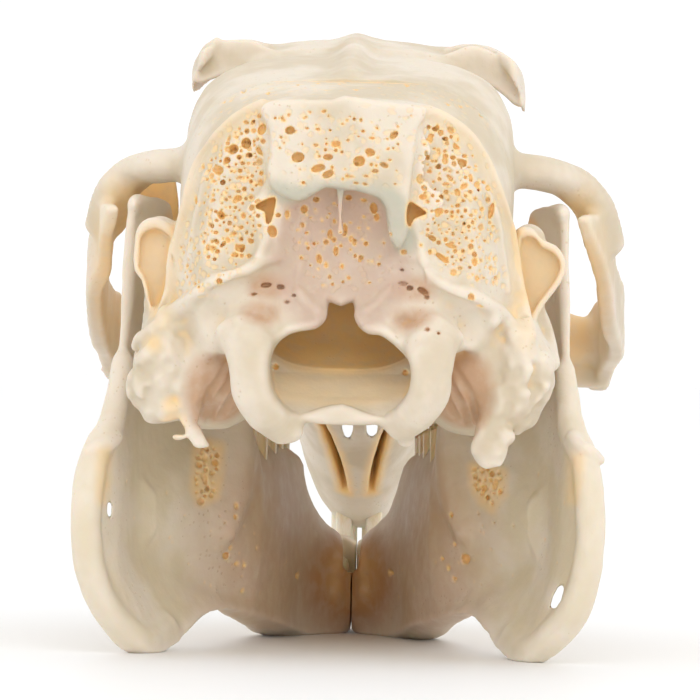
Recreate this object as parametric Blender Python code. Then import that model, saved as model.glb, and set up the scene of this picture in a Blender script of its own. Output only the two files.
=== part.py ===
# Skull of a European rabbit with its lower jaw in place, cleaned and dry.
# The skull stands on its two jaw angles and on the chin, nose towards +Y.
# Landmarks are in millimetres: x to the animal's right, u forward from the rear, z up.
import math

import bmesh
import bpy
from mathutils import Vector

MM = 0.001
REAR_TO_MIDDLE = 36.27  # u of the middle of the skull's length
MIDLINE = 0.41  # x of the middle of the skull's width, as the right arch is the wider

BONE_COLOUR = (0.72, 0.64, 0.52, 1.0)
JAW_COLOUR = (0.70, 0.62, 0.50, 1.0)
TOOTH_COLOUR = (0.83, 0.80, 0.72, 1.0)
BONE_ROUGHNESS = 0.55
TOOTH_ROUGHNESS = 0.35

RING_POINTS = 20
TUBE_SIDES = 12
PLATE_CELL = 2.0  # size of the cells that a bent plate is cut into
FINE_CELL = 1.3

# Stations along the braincase: u, half width low, half width high, z low, z high, squareness.
BRAINCASE = (
    (2.6, 10.6, 8.6, 21.0, 40.8, 2.6),
    (6.0, 12.4, 10.6, 19.6, 42.3, 2.7),
    (11.0, 12.6, 12.4, 19.2, 43.6, 3.0),
    (17.0, 12.0, 13.1, 20.0, 44.8, 3.8),
    (22.0, 10.4, 12.9, 22.0, 45.8, 4.2),
    (26.5, 7.4, 10.8, 24.6, 46.6, 3.2),
    (30.0, 4.6, 9.0, 28.0, 47.4, 2.6),
    (33.0, 2.6, 8.6, 33.0, 47.6, 2.4),
)
# Forehead and snout, in the same terms.
SNOUT = (
    (27.0, 7.2, 9.0, 42.5, 46.9, 2.8),
    (34.0, 6.4, 9.2, 41.5, 48.0, 3.2),
    (39.0, 7.0, 9.2, 36.0, 47.0, 3.0),
    (43.0, 7.4, 9.2, 24.5, 45.2, 2.8),
    (47.0, 7.2, 9.0, 18.2, 42.6, 2.7),
    (52.0, 6.4, 8.5, 16.0, 39.4, 2.6),
    (58.0, 5.4, 7.8, 13.2, 34.8, 2.5),
    (64.0, 4.7, 7.0, 10.4, 29.5, 2.4),
    (68.0, 4.2, 6.3, 8.5, 26.0, 2.3),
    (70.2, 3.4, 5.4, 8.6, 24.2, 2.2),
)
NASAL_TIP = (
    (64.0, 4.6, 5.4, 26.0, 29.3, 2.6),
    (69.0, 4.4, 5.2, 22.9, 25.4, 2.6),
    (71.6, 3.6, 4.2, 21.7, 23.5, 2.4),
    (72.9, 2.2, 2.6, 21.5, 22.7, 2.2),
)
# Floor of the braincase from the foramen magnum to the palate.
BASE = (
    (3.2, 3.6, 3.2, 17.9, 20.4, 2.4),
    (8.0, 3.4, 4.4, 17.9, 21.0, 2.4),
    (14.0, 2.8, 4.0, 18.6, 22.4, 2.4),
    (22.0, 2.0, 3.0, 21.6, 26.4, 2.4),
    (32.0, 1.4, 2.0, 25.6, 31.0, 2.4),
)
SEPTUM = (
    (29.0, 1.3, 1.6, 27.0, 43.0, 3.0),
    (36.0, 1.1, 1.6, 28.5, 43.0, 3.0),
    (43.5, 1.6, 2.2, 26.0, 43.0, 3.0),
)
# Tooth-bearing block of the upper jaw on the right: u, x in, x out, z low, z high.
UPPER_JAW_BLOCK = (
    (28.6, 6.8, 10.4, 20.6, 23.2),
    (32.0, 6.0, 11.2, 20.1, 27.0),
    (38.0, 5.6, 11.6, 19.4, 28.5),
    (43.0, 5.2, 11.2, 18.8, 29.5),
    (47.0, 4.4, 9.6, 18.2, 30.0),
)
PALATE = (
    (39.0, 7.0, 7.0, 20.0, 22.0, 3.0),
    (45.5, 6.4, 6.4, 18.6, 21.0, 3.0),
)
# Long slits in the roof of the mouth: u, x and half width.
INCISIVE_SLIT = ((47.2, 2.6, 1.25), (52.0, 2.4, 1.35), (57.0, 1.6, 0.9), (61.0, 1.1, 0.5))
SLIT_MIDDLE_Z = 14.0
SLIT_HALF_HEIGHT = 9.0
# Front of the nasal cavity; the thin scrolled bones behind it are left solid.
NASAL_HOLLOW = (
    (59.5, 2.9, 3.4, 17.0, 26.4, 2.6),
    (66.0, 3.3, 4.4, 16.5, 25.2, 2.6),
    (75.0, 3.2, 4.4, 14.0, 21.4, 2.6),
)
BRAIN_HOLLOW = (
    (5.6, 4.6, 5.6, 19.3, 31.0, 2.8),
    (9.0, 6.2, 9.4, 19.3, 40.0, 2.6),
    (15.0, 6.6, 11.2, 20.2, 42.6, 2.6),
    (21.0, 6.0, 10.9, 25.0, 43.9, 2.6),
    (26.5, 4.0, 8.0, 30.5, 44.6, 2.4),
)
# Foramen magnum seen from behind, x and z.
FORAMEN = (
    (-1.0, 26.4), (1.0, 26.4), (1.6, 25.0), (3.6, 24.3), (5.1, 22.4), (5.0, 20.4),
    (3.6, 19.2), (0.0, 19.0), (-3.4, 19.2), (-4.7, 20.4), (-4.9, 22.6), (-3.6, 24.3), (-1.6, 25.0),
)
FORAMEN_DEPTHS = ((-4.0, 1.05), (3.0, 1.0), (9.0, 0.95))  # u, and the hole's size there
FORAMEN_CENTRE_Z = 22.6

# Back of the skull seen from behind, x and z.
NUCHAL_PLATE = (
    (-6.3, 41.3), (-4.4, 41.8), (0.1, 41.9), (4.8, 41.6), (6.8, 41.2), (8.7, 39.8), (10.2, 38.0),
    (11.6, 34.6), (12.7, 31.0), (13.6, 27.4), (14.4, 25.0), (15.3, 22.6), (15.2, 20.2), (13.4, 18.2),
    (9.4, 19.6), (7.2, 20.0), (4.6, 18.2), (-4.4, 18.2), (-6.8, 20.0), (-9.2, 19.6), (-13.2, 17.8),
    (-15.2, 19.8), (-15.3, 22.4), (-14.2, 24.8), (-13.2, 27.4), (-12.5, 31.0), (-11.5, 34.6),
    (-9.8, 38.4), (-8.3, 40.0),
)
NUCHAL_U = 3.6
NUCHAL_SWEEP = 0.030  # how fast the plate turns forward away from the middle
NUCHAL_DIP = 0.54  # shallow hollow above the foramen magnum
NUCHAL_DIP_Z = 28.0
NUCHAL_DIP_HALF = 7.0
NUCHAL_THICKNESS = 2.4
SHIELD = (
    (-6.0, 41.2), (0.0, 41.8), (6.4, 41.3), (5.6, 39.7), (5.3, 37.6), (5.0, 35.0), (4.9, 32.2),
    (4.3, 30.8), (3.5, 32.0), (3.3, 33.8), (2.2, 34.7), (0.6, 34.9), (0.5, 32.0), (0.3, 27.6),
    (-0.3, 27.6), (-0.4, 32.0), (-0.6, 35.2), (-2.0, 34.5), (-3.6, 34.1), (-5.1, 35.2), (-5.4, 37.0),
    (-5.2, 39.6),
)
SHIELD_U = 2.1
SHIELD_SWEEP = 0.020
SHIELD_THICKNESS = 2.2
PAROCCIPITAL_RIGHT = ((11.6, 8.6, 25.4), (11.4, 7.6, 21.0), (11.2, 6.8, 17.6), (11.4, 6.4, 14.6))
PAROCCIPITAL_LEFT = ((-11.4, 8.6, 25.4), (-11.3, 7.6, 21.0), (-11.3, 6.8, 18.0), (-11.0, 6.4, 15.7))
PAROCCIPITAL_RADII = (1.7, 0.95)
PAROCCIPITAL_FLATNESS = 0.8

# Rounded masses: x, u, z, then the half sizes in x, u and z.
CONDYLE_RIGHT = (
    (6.9, 2.4, 22.6, 1.6, 2.2, 2.2),
    (6.2, 2.2, 20.4, 1.7, 2.4, 2.4),
    (4.9, 2.8, 18.6, 1.8, 2.6, 1.5),
)
CONDYLE_LEFT = (
    (-6.6, 2.4, 22.6, 1.6, 2.2, 2.2),
    (-6.0, 2.2, 20.4, 1.6, 2.4, 2.4),
    (-4.6, 2.8, 18.4, 1.7, 2.6, 1.6),
)
BULLA = (9.9, 14.2, 21.9, 4.3, 6.6, 4.6)
MASTOID = (13.1, 9.4, 22.0, 2.3, 4.2, 4.3)
EAR_TUBE = ((12.4, 13.0, 24.0), (13.3, 12.4, 28.4), (13.9, 11.6, 32.0))
EAR_TUBE_RADII = (3.0, 2.6, 1.9)

# Cheek arch on each side, seen from the side: u and z.
ARCH_OUTLINE = (
    (16.6, 33.9), (19.5, 34.2), (22.6, 34.4), (26.0, 32.9), (31.0, 30.9), (37.0, 29.2), (42.5, 28.0),
    (46.0, 27.6), (48.6, 24.6), (48.6, 21.2), (46.6, 20.6), (43.6, 22.2), (38.0, 23.4), (32.0, 25.2),
    (26.6, 27.7), (21.6, 30.6), (17.6, 32.7),
)
# How far out each arch bows along its length: u and x.
ARCH_BOW_LEFT = (
    (16.0, 18.0), (20.0, 18.8), (24.0, 19.1), (28.0, 20.1), (38.0, 20.3), (44.0, 20.1), (49.0, 19.2),
)
ARCH_BOW_RIGHT = (
    (16.0, 17.9), (20.0, 18.9), (25.0, 19.8), (31.0, 20.4), (38.0, 21.1), (44.0, 20.7), (49.0, 19.8),
)
ARCH_LEAN = 0.03  # the arch leans out below this height
ARCH_UPRIGHT_Z = 28.0
ARCH_THICKNESS = 1.7
ARCH_REAR_THICKNESS = 1.2
ARCH_REAR_U = 21.0
# Root of the arch on the braincase: x, u and z.
ARCH_ROOT_LEFT = (
    (-11.6, 18.0, 37.3), (-14.2, 19.0, 37.2), (-16.4, 21.0, 36.8), (-18.2, 22.6, 35.2), (-19.1, 24.6, 32.8),
)
ARCH_ROOT_RIGHT = (
    (11.6, 18.0, 37.5), (14.8, 19.0, 37.2), (17.0, 21.0, 36.6), (18.8, 22.6, 34.8), (19.7, 24.6, 32.2),
)
ARCH_ROOT_RADII = (1.7, 1.3)
ARCH_ROOT_FLATNESS = 0.66
CHEEK_ROOT = ((9.6, 44.0, 25.6), (13.6, 45.0, 25.2), (17.4, 46.0, 24.6), (20.0, 46.4, 24.2))
CHEEK_ROOT_RADII = (3.2, 2.3)
CHEEK_ROOT_FLATNESS = 0.9

# Brow plates, seen from above: x and u; the plate rises and rolls down at its edge.
BROW_RIGHT = (
    (6.6, 30.0), (6.8, 42.0), (9.6, 44.6), (11.8, 43.4), (12.8, 39.4), (13.3, 34.0), (13.3, 28.4),
    (12.6, 25.6), (11.4, 26.8), (10.6, 30.2), (9.0, 31.6),
)
BROW_LEFT = (
    (-6.6, 29.6), (-6.8, 42.0), (-9.6, 44.6), (-11.8, 43.0), (-12.8, 39.0), (-13.0, 34.0), (-12.8, 28.8),
    (-12.0, 26.0), (-11.0, 27.0), (-10.2, 30.4), (-9.0, 31.0),
)
BROW_SECTION = ((6.0, 46.6), (8.2, 47.4), (10.2, 47.3), (11.8, 46.4), (12.8, 45.0), (13.6, 43.0))
BROW_THICKNESS = 1.5
BROW_FALL = 0.035  # the plate drops in front of and behind its highest point
BROW_CREST_U = 36.0
# Wing behind the palate, seen from the side: u and z.
PTERYGOID = (
    (22.5, 23.6), (27.0, 27.0), (33.0, 28.6), (38.0, 25.4), (37.0, 21.6), (32.0, 20.6), (26.0, 20.2),
    (23.4, 20.8),
)
PTERYGOID_X = 3.9
PTERYGOID_SPLAY = 0.06
PTERYGOID_MIDDLE_U = 28.0
PTERYGOID_THICKNESS = 1.3

# Lower jaw, seen from the side: u and z.
JAW_OUTLINE = (
    (13.0, 0.0), (17.5, 0.9), (23.0, 2.9), (29.0, 2.6), (36.0, 1.4), (43.0, 0.3), (48.0, 0.0), (52.0, 0.9),
    (57.0, 2.2), (61.5, 4.2), (62.6, 6.0), (61.4, 7.4), (56.0, 7.0), (51.0, 7.4), (46.6, 9.0), (43.6, 12.4),
    (43.0, 14.6), (28.6, 15.8), (26.4, 19.0), (24.8, 24.0), (23.6, 29.0), (22.6, 33.2), (21.6, 34.7),
    (17.6, 34.7), (16.9, 33.0), (16.6, 28.0), (15.4, 22.0), (13.0, 18.0), (10.6, 16.0), (9.2, 12.8),
    (8.8, 9.0), (9.3, 5.0), (10.8, 1.8),
)
# How far out each half of the jaw stands, and how far it curls in below: u and x.
JAW_SPREAD = (
    (8.0, 19.2), (10.0, 18.8), (13.0, 17.5), (18.0, 16.3), (24.0, 13.2), (30.0, 10.0), (36.0, 7.4),
    (43.0, 5.2), (47.0, 3.4), (50.0, 2.5), (63.0, 1.6),
)
JAW_CURL = (
    (9.0, 2.5), (13.0, 3.0), (18.0, 4.5), (25.0, 6.0), (32.0, 3.2), (40.0, 1.4), (48.0, 0.5), (63.0, 0.0),
)
JAW_CURL_HEIGHT = 10.0
JAW_THICKNESS = 1.5
# Thick rounded rim of the jaw angle: u and z.
JAW_RIM = (
    (15.6, 22.0), (13.2, 17.9), (10.8, 15.6), (9.7, 12.6), (9.3, 9.0), (9.8, 5.4), (11.2, 2.5),
    (13.4, 1.02), (17.4, 1.75),
)
JAW_RIM_RADIUS = 1.1
JAW_RIM_INSET = 0.2
# Tooth-bearing body of the jaw: u, x in, x out, z low, z high.
JAW_BODY = (
    (25.6, 7.4, 12.0, 7.0, 14.6),
    (30.0, 5.4, 10.9, 2.6, 15.8),
    (36.0, 4.7, 10.0, 1.2, 15.3),
    (42.0, 3.9, 9.2, 0.2, 14.7),
    (45.2, 2.2, 7.4, -0.2, 10.8),
    (48.5, -0.6, 5.6, -0.2, 8.2),
    (52.0, -1.2, 4.6, 0.6, 7.6),
    (57.0, -1.2, 4.0, 1.8, 7.2),
    (62.4, -0.8, 3.2, 4.0, 7.2),
)
JAW_CONDYLE = (16.4, 19.6, 34.2, 1.2, 3.1, 1.0)
SYMPHYSIS_FACE = 0.16  # flat medial face of each half, from the midline
MIDLINE_CUT_REAR = (8.0, 40.0, -4.0)  # how far past the midline, u and z
MIDLINE_CUT_FRONT = (70.0, 20.0)  # u and z
GROUND = 0.15  # the jaw's lowest points are worn flat at this height, which becomes z = 0
REST_CUT = ((-30.0, 0.0, -5.0), (30.0, 70.0, GROUND))

GAP = 0.3  # clearance round a tooth in its socket
SOCKET_SLACK = 0.05  # and what the thinned faces of a socket may lose of it
TRENCH_SQUARENESS = 8.0
TRENCH_OVERRUN = 3.0  # the sockets of a row are one trench, open at the biting side

# Cheek teeth: places along the row and across, half lengths and widths, and the biting and root heights.
UPPER_ROW_U = (44.4, 41.6, 38.7, 35.8, 32.9, 30.6)
UPPER_ROW_X = (7.6, 8.2, 8.5, 8.7, 8.8, 8.8)
UPPER_HALF_LENGTH = (1.15, 1.25, 1.25, 1.25, 1.2, 0.7)
UPPER_HALF_WIDTH = (1.5, 1.9, 1.95, 1.9, 1.7, 0.9)
UPPER_BITE = 17.7
UPPER_ROOT = 23.4
LOWER_ROW_U = (41.4, 38.4, 35.4, 32.4, 29.8)
LOWER_ROW_X = (6.4, 6.8, 7.2, 7.7, 8.2)
LOWER_HALF_LENGTH = (1.35, 1.3, 1.3, 1.25, 0.9)
LOWER_HALF_WIDTH = (1.35, 1.4, 1.4, 1.3, 1.0)
LOWER_BITE = 17.1
LOWER_ROOT = 10.6
ROW_SLOPE = 0.08  # the biting surface drops forward
ROW_LEVEL_U = 36.0
TOOTH_SIDES = 12
TOOTH_SQUARENESS = 0.7
TOOTH_ROOT_SIZE = 0.92

# Front teeth seen from the side, u and z, from the root to the tip.
UPPER_INCISOR = ((64.4, 14.3), (66.4, 13.3), (68.0, 11.6), (68.9, 9.2), (68.9, 7.0), (68.4, 4.9))
UPPER_INCISOR_X = 1.4
UPPER_INCISOR_RADII = (1.2, 1.15)
PEG = ((64.9, 11.4), (65.7, 9.6), (66.2, 7.6))
PEG_X = 1.35
PEG_RADII = (0.7, 0.6)
LOWER_INCISOR = ((50.0, 3.3), (55.0, 4.1), (60.0, 5.2), (63.6, 5.7), (66.4, 6.4))
LOWER_INCISOR_X = 1.75
LOWER_INCISOR_RADII = (1.1, 1.0)
FRONT_TOOTH_SIDES = 8

FLAT_BAND = 0.06  # how far a thinned flat may be out before it is made true

CRANIUM_VOXEL = 0.55
JAW_VOXEL = 0.42
CRANIUM_KEEP = 0.055  # share of the fused faces that is kept
JAW_KEEP = 0.042


def clear_scene():
    for old in list(bpy.data.objects):
        bpy.data.objects.remove(old, do_unlink=True)


def place(x, u, z):
    return Vector(((x - MIDLINE) * MM, (u - REAR_TO_MIDDLE) * MM, (z - GROUND) * MM))


def along(table, position):
    """Value of a two-column table at a position, straight between its rows."""
    if position <= table[0][0]:
        return table[0][1]
    for (a, low), (b, high) in zip(table, table[1:]):
        if position <= b:
            return low + (high - low) * (position - a) / (b - a)
    return table[-1][1]


def make_material(name, colour, roughness):
    material = bpy.data.materials.new(name)
    material.use_nodes = True
    shader = material.node_tree.nodes["Principled BSDF"]
    shader.inputs["Base Color"].default_value = colour
    shader.inputs["Roughness"].default_value = roughness
    shader.inputs["Metallic"].default_value = 0.0
    return material


def make_object(name, mesh_data, colour, roughness):
    item = bpy.data.objects.new(name, mesh_data)
    bpy.context.scene.collection.objects.link(item)
    item.data.materials.append(make_material(name + "_finish", colour, roughness))
    return item


def finish_mesh(name, form):
    bmesh.ops.recalc_face_normals(form, faces=form.faces)
    mesh_data = bpy.data.meshes.new(name)
    form.to_mesh(mesh_data)
    form.free()
    return mesh_data


def bridge_rings(form, rings):
    """Skin a row of closed rings with equal counts, and cap both ends."""
    loops = [[form.verts.new(corner) for corner in ring] for ring in rings]
    for first, second in zip(loops, loops[1:]):
        for index in range(len(first)):
            after = (index + 1) % len(first)
            form.faces.new((first[index], first[after], second[after], second[index]))
    form.faces.new(list(reversed(loops[0])))
    form.faces.new(loops[-1])


def section_ring(u, low_half, high_half, z_low, z_high, power, centre_x=0.0, grow=0.0):
    """One superellipse across the skull, wider above than below or the other way round."""
    ring = []
    middle = (z_low + z_high) / 2
    half = (z_high - z_low) / 2 + grow
    for step in range(RING_POINTS):
        angle = 2 * math.pi * step / RING_POINTS
        across = math.copysign(abs(math.cos(angle)) ** (2 / power), math.cos(angle))
        up = math.copysign(abs(math.sin(angle)) ** (2 / power), math.sin(angle))
        width = low_half + (high_half - low_half) * (up + 1) / 2 + grow
        ring.append(place(centre_x + across * width, u, middle + up * half))
    return ring


def add_loft(form, stations):
    bridge_rings(form, [section_ring(*station) for station in stations])


def add_side_loft(form, stations, side):
    rings = []
    for u, inner, outer, z_low, z_high in stations:
        half = (outer - inner) / 2
        rings.append(section_ring(u, half, half, z_low, z_high, 3.0, side * (inner + outer) / 2))
    bridge_rings(form, rings)


def add_mass(form, x, u, z, half_x, half_u, half_z, side=1):
    made = bmesh.ops.create_icosphere(form, subdivisions=3, radius=1.0)
    for corner in made["verts"]:
        offset = corner.co.copy()
        corner.co = place(side * x + offset.x * half_x, u + offset.y * half_u, z + offset.z * half_z)


def add_tube(form, points, radii, sides=TUBE_SIDES, flat=1.0, axis=Vector((0, 0, 1))):
    """Sweep an ellipse along points; flat scales the half size along the given axis."""
    rings = []
    for index, point in enumerate(points):
        before = points[max(index - 1, 0)]
        after = points[min(index + 1, len(points) - 1)]
        heading = (after - before).normalized()
        across = heading.cross(axis).normalized()
        up = across.cross(heading).normalized()
        radius = radii[index] * MM
        ring = []
        for step in range(sides):
            angle = 2 * math.pi * step / sides
            ring.append(point + across * math.cos(angle) * radius + up * math.sin(angle) * radius * flat)
        rings.append(ring)
    bridge_rings(form, rings)


def smooth_path(points, steps=5):
    """Points of a smooth curve through the given ones."""
    path = []
    count = len(points)
    for index in range(count - 1):
        p0 = points[max(index - 1, 0)]
        p1 = points[index]
        p2 = points[index + 1]
        p3 = points[min(index + 2, count - 1)]
        for step in range(steps):
            t = step / steps
            path.append(
                0.5 * (2 * p1 + (p2 - p0) * t + (2 * p0 - 5 * p1 + 4 * p2 - p3) * t ** 2
                       + (3 * p1 - p0 - 3 * p2 + p3) * t ** 3)
            )
    path.append(points[-1])
    return path


def tapered(radii, count):
    """Radii spread evenly along a path of count points."""
    stops = [(index * (count - 1) / (len(radii) - 1), radius) for index, radius in enumerate(radii)]
    return [along(stops, index) for index in range(count)]


def add_tapered_tube(form, points, radii, flat=1.0, axis=Vector((0, 0, 1))):
    path = smooth_path([place(*point) for point in points])
    add_tube(form, path, tapered(radii, len(path)), flat=flat, axis=axis)


def mirrored(points, side):
    return [(side * x, u, z) for x, u, z in points]


def add_plate(form, outline, spacing, to_place, thickness):
    """A curved plate: an outline cut into a grid, bent by to_place(a, b, offset) and given two faces."""
    flat = bmesh.new()
    flat.faces.new([flat.verts.new((a, b, 0.0)) for a, b in outline])
    for axis in (0, 1):
        values = [corner[axis] for corner in outline]
        cut = math.floor(min(values) / spacing) * spacing + spacing
        normal = Vector((1.0, 0.0, 0.0)) if axis == 0 else Vector((0.0, 1.0, 0.0))
        while cut < max(values):
            whole = flat.verts[:] + flat.edges[:] + flat.faces[:]
            bmesh.ops.bisect_plane(flat, geom=whole, dist=1e-5, plane_co=normal * cut, plane_no=normal)
            cut += spacing
    bmesh.ops.triangulate(flat, faces=flat.faces)
    flat.verts.index_update()
    outer = []
    inner = []
    for corner in flat.verts:
        half = thickness(corner.co.x, corner.co.y) / 2
        outer.append(form.verts.new(to_place(corner.co.x, corner.co.y, half)))
        inner.append(form.verts.new(to_place(corner.co.x, corner.co.y, -half)))
    for face in flat.faces:
        order = [corner.index for corner in face.verts]
        form.faces.new([outer[number] for number in order])
        form.faces.new([inner[number] for number in reversed(order)])
    for edge in flat.edges:
        if edge.is_boundary:
            loop = edge.link_loops[0]
            a = loop.vert.index
            b = loop.link_loop_next.vert.index
            form.faces.new((outer[b], outer[a], inner[a], inner[b]))
    flat.free()


def add_arch(form, side, bow):
    def bend(u, z, offset):
        lean = ARCH_LEAN * (ARCH_UPRIGHT_Z - z)
        return place(side * (along(bow, u) + lean + offset), u, z)

    def thickness(u, z):
        return ARCH_REAR_THICKNESS if u < ARCH_REAR_U else ARCH_THICKNESS

    add_plate(form, ARCH_OUTLINE, PLATE_CELL, bend, thickness)
    add_tapered_tube(form, mirrored(CHEEK_ROOT, side), CHEEK_ROOT_RADII, flat=CHEEK_ROOT_FLATNESS)


def add_brow(form, outline):
    def bend(x, u, offset):
        drop = BROW_FALL * abs(u - BROW_CREST_U)
        return place(x, u, along(BROW_SECTION, abs(x)) - drop + offset)

    add_plate(form, outline, FINE_CELL, bend, lambda x, u: BROW_THICKNESS)


def add_pterygoid(form, side):
    def bend(u, z, offset):
        return place(side * (PTERYGOID_X + PTERYGOID_SPLAY * (u - PTERYGOID_MIDDLE_U) + offset), u, z)

    add_plate(form, PTERYGOID, PLATE_CELL, bend, lambda u, z: PTERYGOID_THICKNESS)


def add_back(form):
    def rear(x, z, offset):
        dip = NUCHAL_DIP * max(0.0, 1.0 - ((z - NUCHAL_DIP_Z) / NUCHAL_DIP_HALF) ** 2)
        return place(x, NUCHAL_U + dip + NUCHAL_SWEEP * x * x - offset, z)

    def shield(x, z, offset):
        return place(x, SHIELD_U + SHIELD_SWEEP * x * x - offset, z)

    add_plate(form, NUCHAL_PLATE, PLATE_CELL, rear, lambda x, z: NUCHAL_THICKNESS)
    add_plate(form, SHIELD, FINE_CELL, shield, lambda x, z: SHIELD_THICKNESS)


def cranium_form():
    form = bmesh.new()
    for stations in (BRAINCASE, SNOUT, NASAL_TIP, BASE, SEPTUM, PALATE):
        add_loft(form, stations)
    add_back(form)
    for side, bow, root in ((-1, ARCH_BOW_LEFT, ARCH_ROOT_LEFT), (1, ARCH_BOW_RIGHT, ARCH_ROOT_RIGHT)):
        add_side_loft(form, UPPER_JAW_BLOCK, side)
        add_arch(form, side, bow)
        add_tapered_tube(form, root, ARCH_ROOT_RADII, flat=ARCH_ROOT_FLATNESS)
        add_pterygoid(form, side)
        add_mass(form, *BULLA, side=side)
        add_mass(form, *MASTOID, side=side)
        add_tapered_tube(form, mirrored(EAR_TUBE, side), EAR_TUBE_RADII)
    for mass in CONDYLE_RIGHT + CONDYLE_LEFT:
        add_mass(form, *mass)
    for points in (PAROCCIPITAL_RIGHT, PAROCCIPITAL_LEFT):
        add_tapered_tube(form, points, PAROCCIPITAL_RADII, PAROCCIPITAL_FLATNESS, Vector((0, 1, 0)))
    add_brow(form, BROW_RIGHT)
    add_brow(form, BROW_LEFT)
    return form


def jaw_x(u, z):
    curl = along(JAW_CURL, u) * max(0.0, 1.0 - z / JAW_CURL_HEIGHT) ** 2
    return along(JAW_SPREAD, u) - curl


def jaw_form(side):
    form = bmesh.new()

    def bend(u, z, offset):
        return place(side * max(jaw_x(u, z) + offset, SYMPHYSIS_FACE), u, z)

    add_plate(form, JAW_OUTLINE, PLATE_CELL, bend, lambda u, z: JAW_THICKNESS)
    add_side_loft(form, JAW_BODY, side)
    rim = smooth_path([place(side * (jaw_x(u, z) - JAW_RIM_INSET), u, z) for u, z in JAW_RIM])
    add_tube(form, rim, [JAW_RIM_RADIUS] * len(rim), axis=Vector((1, 0, 0)))
    add_mass(form, *JAW_CONDYLE, side=side)
    return form


def squared(value):
    return math.copysign(abs(value) ** TOOTH_SQUARENESS, value)


def cheek_tooth_form(u, x, half_length, half_width, bite, root, side):
    """A rounded prism that tapers a little to its root."""
    form = bmesh.new()
    rings = []
    level = bite - ROW_SLOPE * (u - ROW_LEVEL_U)
    for z, size in ((level, 1.0), (root, TOOTH_ROOT_SIZE)):
        ring = []
        for step in range(TOOTH_SIDES):
            angle = 2 * math.pi * step / TOOTH_SIDES
            across = squared(math.cos(angle)) * half_width * size
            ahead = squared(math.sin(angle)) * half_length * size
            ring.append(place(side * x + across, u + ahead, z))
        rings.append(ring)
    bridge_rings(form, rings)
    return form


def trench_form(row_u, row_x, half_lengths, half_widths, bite, root, side):
    """The sockets of one row of cheek teeth, run together."""
    form = bmesh.new()
    room = GAP + SOCKET_SLACK
    mouth = bite - math.copysign(TRENCH_OVERRUN, root - bite)
    bottom = root + math.copysign(room, root - bite)
    low = min(mouth, bottom)
    high = max(mouth, bottom)
    stations = list(zip(row_u, row_x, half_widths))
    front = (row_u[0] + half_lengths[0] + room, row_x[0], half_widths[0])
    rear = (row_u[-1] - half_lengths[-1] - room, row_x[-1], half_widths[-1])
    rings = []
    for u, x, half_width in [front] + stations + [rear]:
        half = half_width + room
        rings.append(section_ring(u, half, half, low, high, TRENCH_SQUARENESS, side * x))
    bridge_rings(form, rings)
    return form


def curved_tooth_form(points, x, radii, side, grow):
    form = bmesh.new()
    path = smooth_path([place(side * x, u, z) for u, z in points], steps=2)
    width, depth = radii
    if grow:
        path[0] = path[0] + (path[0] - path[1]).normalized() * grow * MM
    flat = (width + grow) / (depth + grow)
    add_tube(form, path, [depth + grow] * len(path), FRONT_TOOTH_SIDES, flat, Vector((1, 0, 0)))
    return form


def cut_with(item, cutters):
    """Cut a set of named forms out of an object in one pass; the exact solver leaves open edges here."""
    group = bpy.data.collections.new(item.name + "_cutters")
    bpy.context.scene.collection.children.link(group)
    for name, form in cutters:
        cutter = bpy.data.objects.new(name, finish_mesh(name, form))
        cutter.hide_render = True
        cutter.display_type = "WIRE"
        group.objects.link(cutter)
    modifier = item.modifiers.new(group.name, "BOOLEAN")
    modifier.operation = "DIFFERENCE"
    modifier.solver = "MANIFOLD"
    modifier.operand_type = "COLLECTION"
    modifier.collection = group


def fuse(item, voxel):
    """Fuse the overlapping forms to one closed skin."""
    remesh = item.modifiers.new("fuse", "REMESH")
    remesh.mode = "VOXEL"
    remesh.voxel_size = voxel * MM
    smooth = item.modifiers.new("ease", "SMOOTH")
    smooth.factor = 0.5
    smooth.iterations = 3


def thin_out(item, keep):
    thin = item.modifiers.new("thin", "DECIMATE")
    thin.ratio = keep


def box_form(low, high):
    form = bmesh.new()
    made = bmesh.ops.create_cube(form, size=1.0)
    a = place(*low)
    b = place(*high)
    for corner in made["verts"]:
        corner.co = Vector([(a[i] + b[i]) / 2 + corner.co[i] * abs(b[i] - a[i]) for i in range(3)])
    return form


def foramen_form():
    form = bmesh.new()
    middle = FORAMEN_CENTRE_Z
    rings = []
    for u, scale in FORAMEN_DEPTHS:
        rings.append([place(x * scale, u, middle + (z - middle) * scale) for x, z in FORAMEN])
    bridge_rings(form, rings)
    return form


def slit_form(side):
    form = bmesh.new()
    rings = []
    for u, x, half in INCISIVE_SLIT:
        ring = []
        for step in range(TUBE_SIDES):
            angle = 2 * math.pi * step / TUBE_SIDES
            z = SLIT_MIDDLE_Z + math.sin(angle) * SLIT_HALF_HEIGHT
            ring.append(place(side * x + math.cos(angle) * half, u, z))
        rings.append(ring)
    bridge_rings(form, rings)
    return form


def cheek_row(stem, word, side, values, bite, root):
    """Make one row of cheek teeth, and return the form of its sockets."""
    for number, (u, x, half_length, half_width) in enumerate(zip(*values), start=1):
        form = cheek_tooth_form(u, x, half_length, half_width, bite, root, side)
        name = f"{stem}_{word}_{number}"
        make_object(name, finish_mesh(name, form), TOOTH_COLOUR, TOOTH_ROUGHNESS)
    return trench_form(*values, bite, root, side)


def front_tooth(name, points, x, radii, side):
    """Make one curved front tooth, and return the form of its socket."""
    form = curved_tooth_form(points, x, radii, side, 0.0)
    make_object(name, finish_mesh(name, form), TOOTH_COLOUR, TOOTH_ROUGHNESS)
    return curved_tooth_form(points, x, radii, side, GAP + SOCKET_SLACK)


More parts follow.
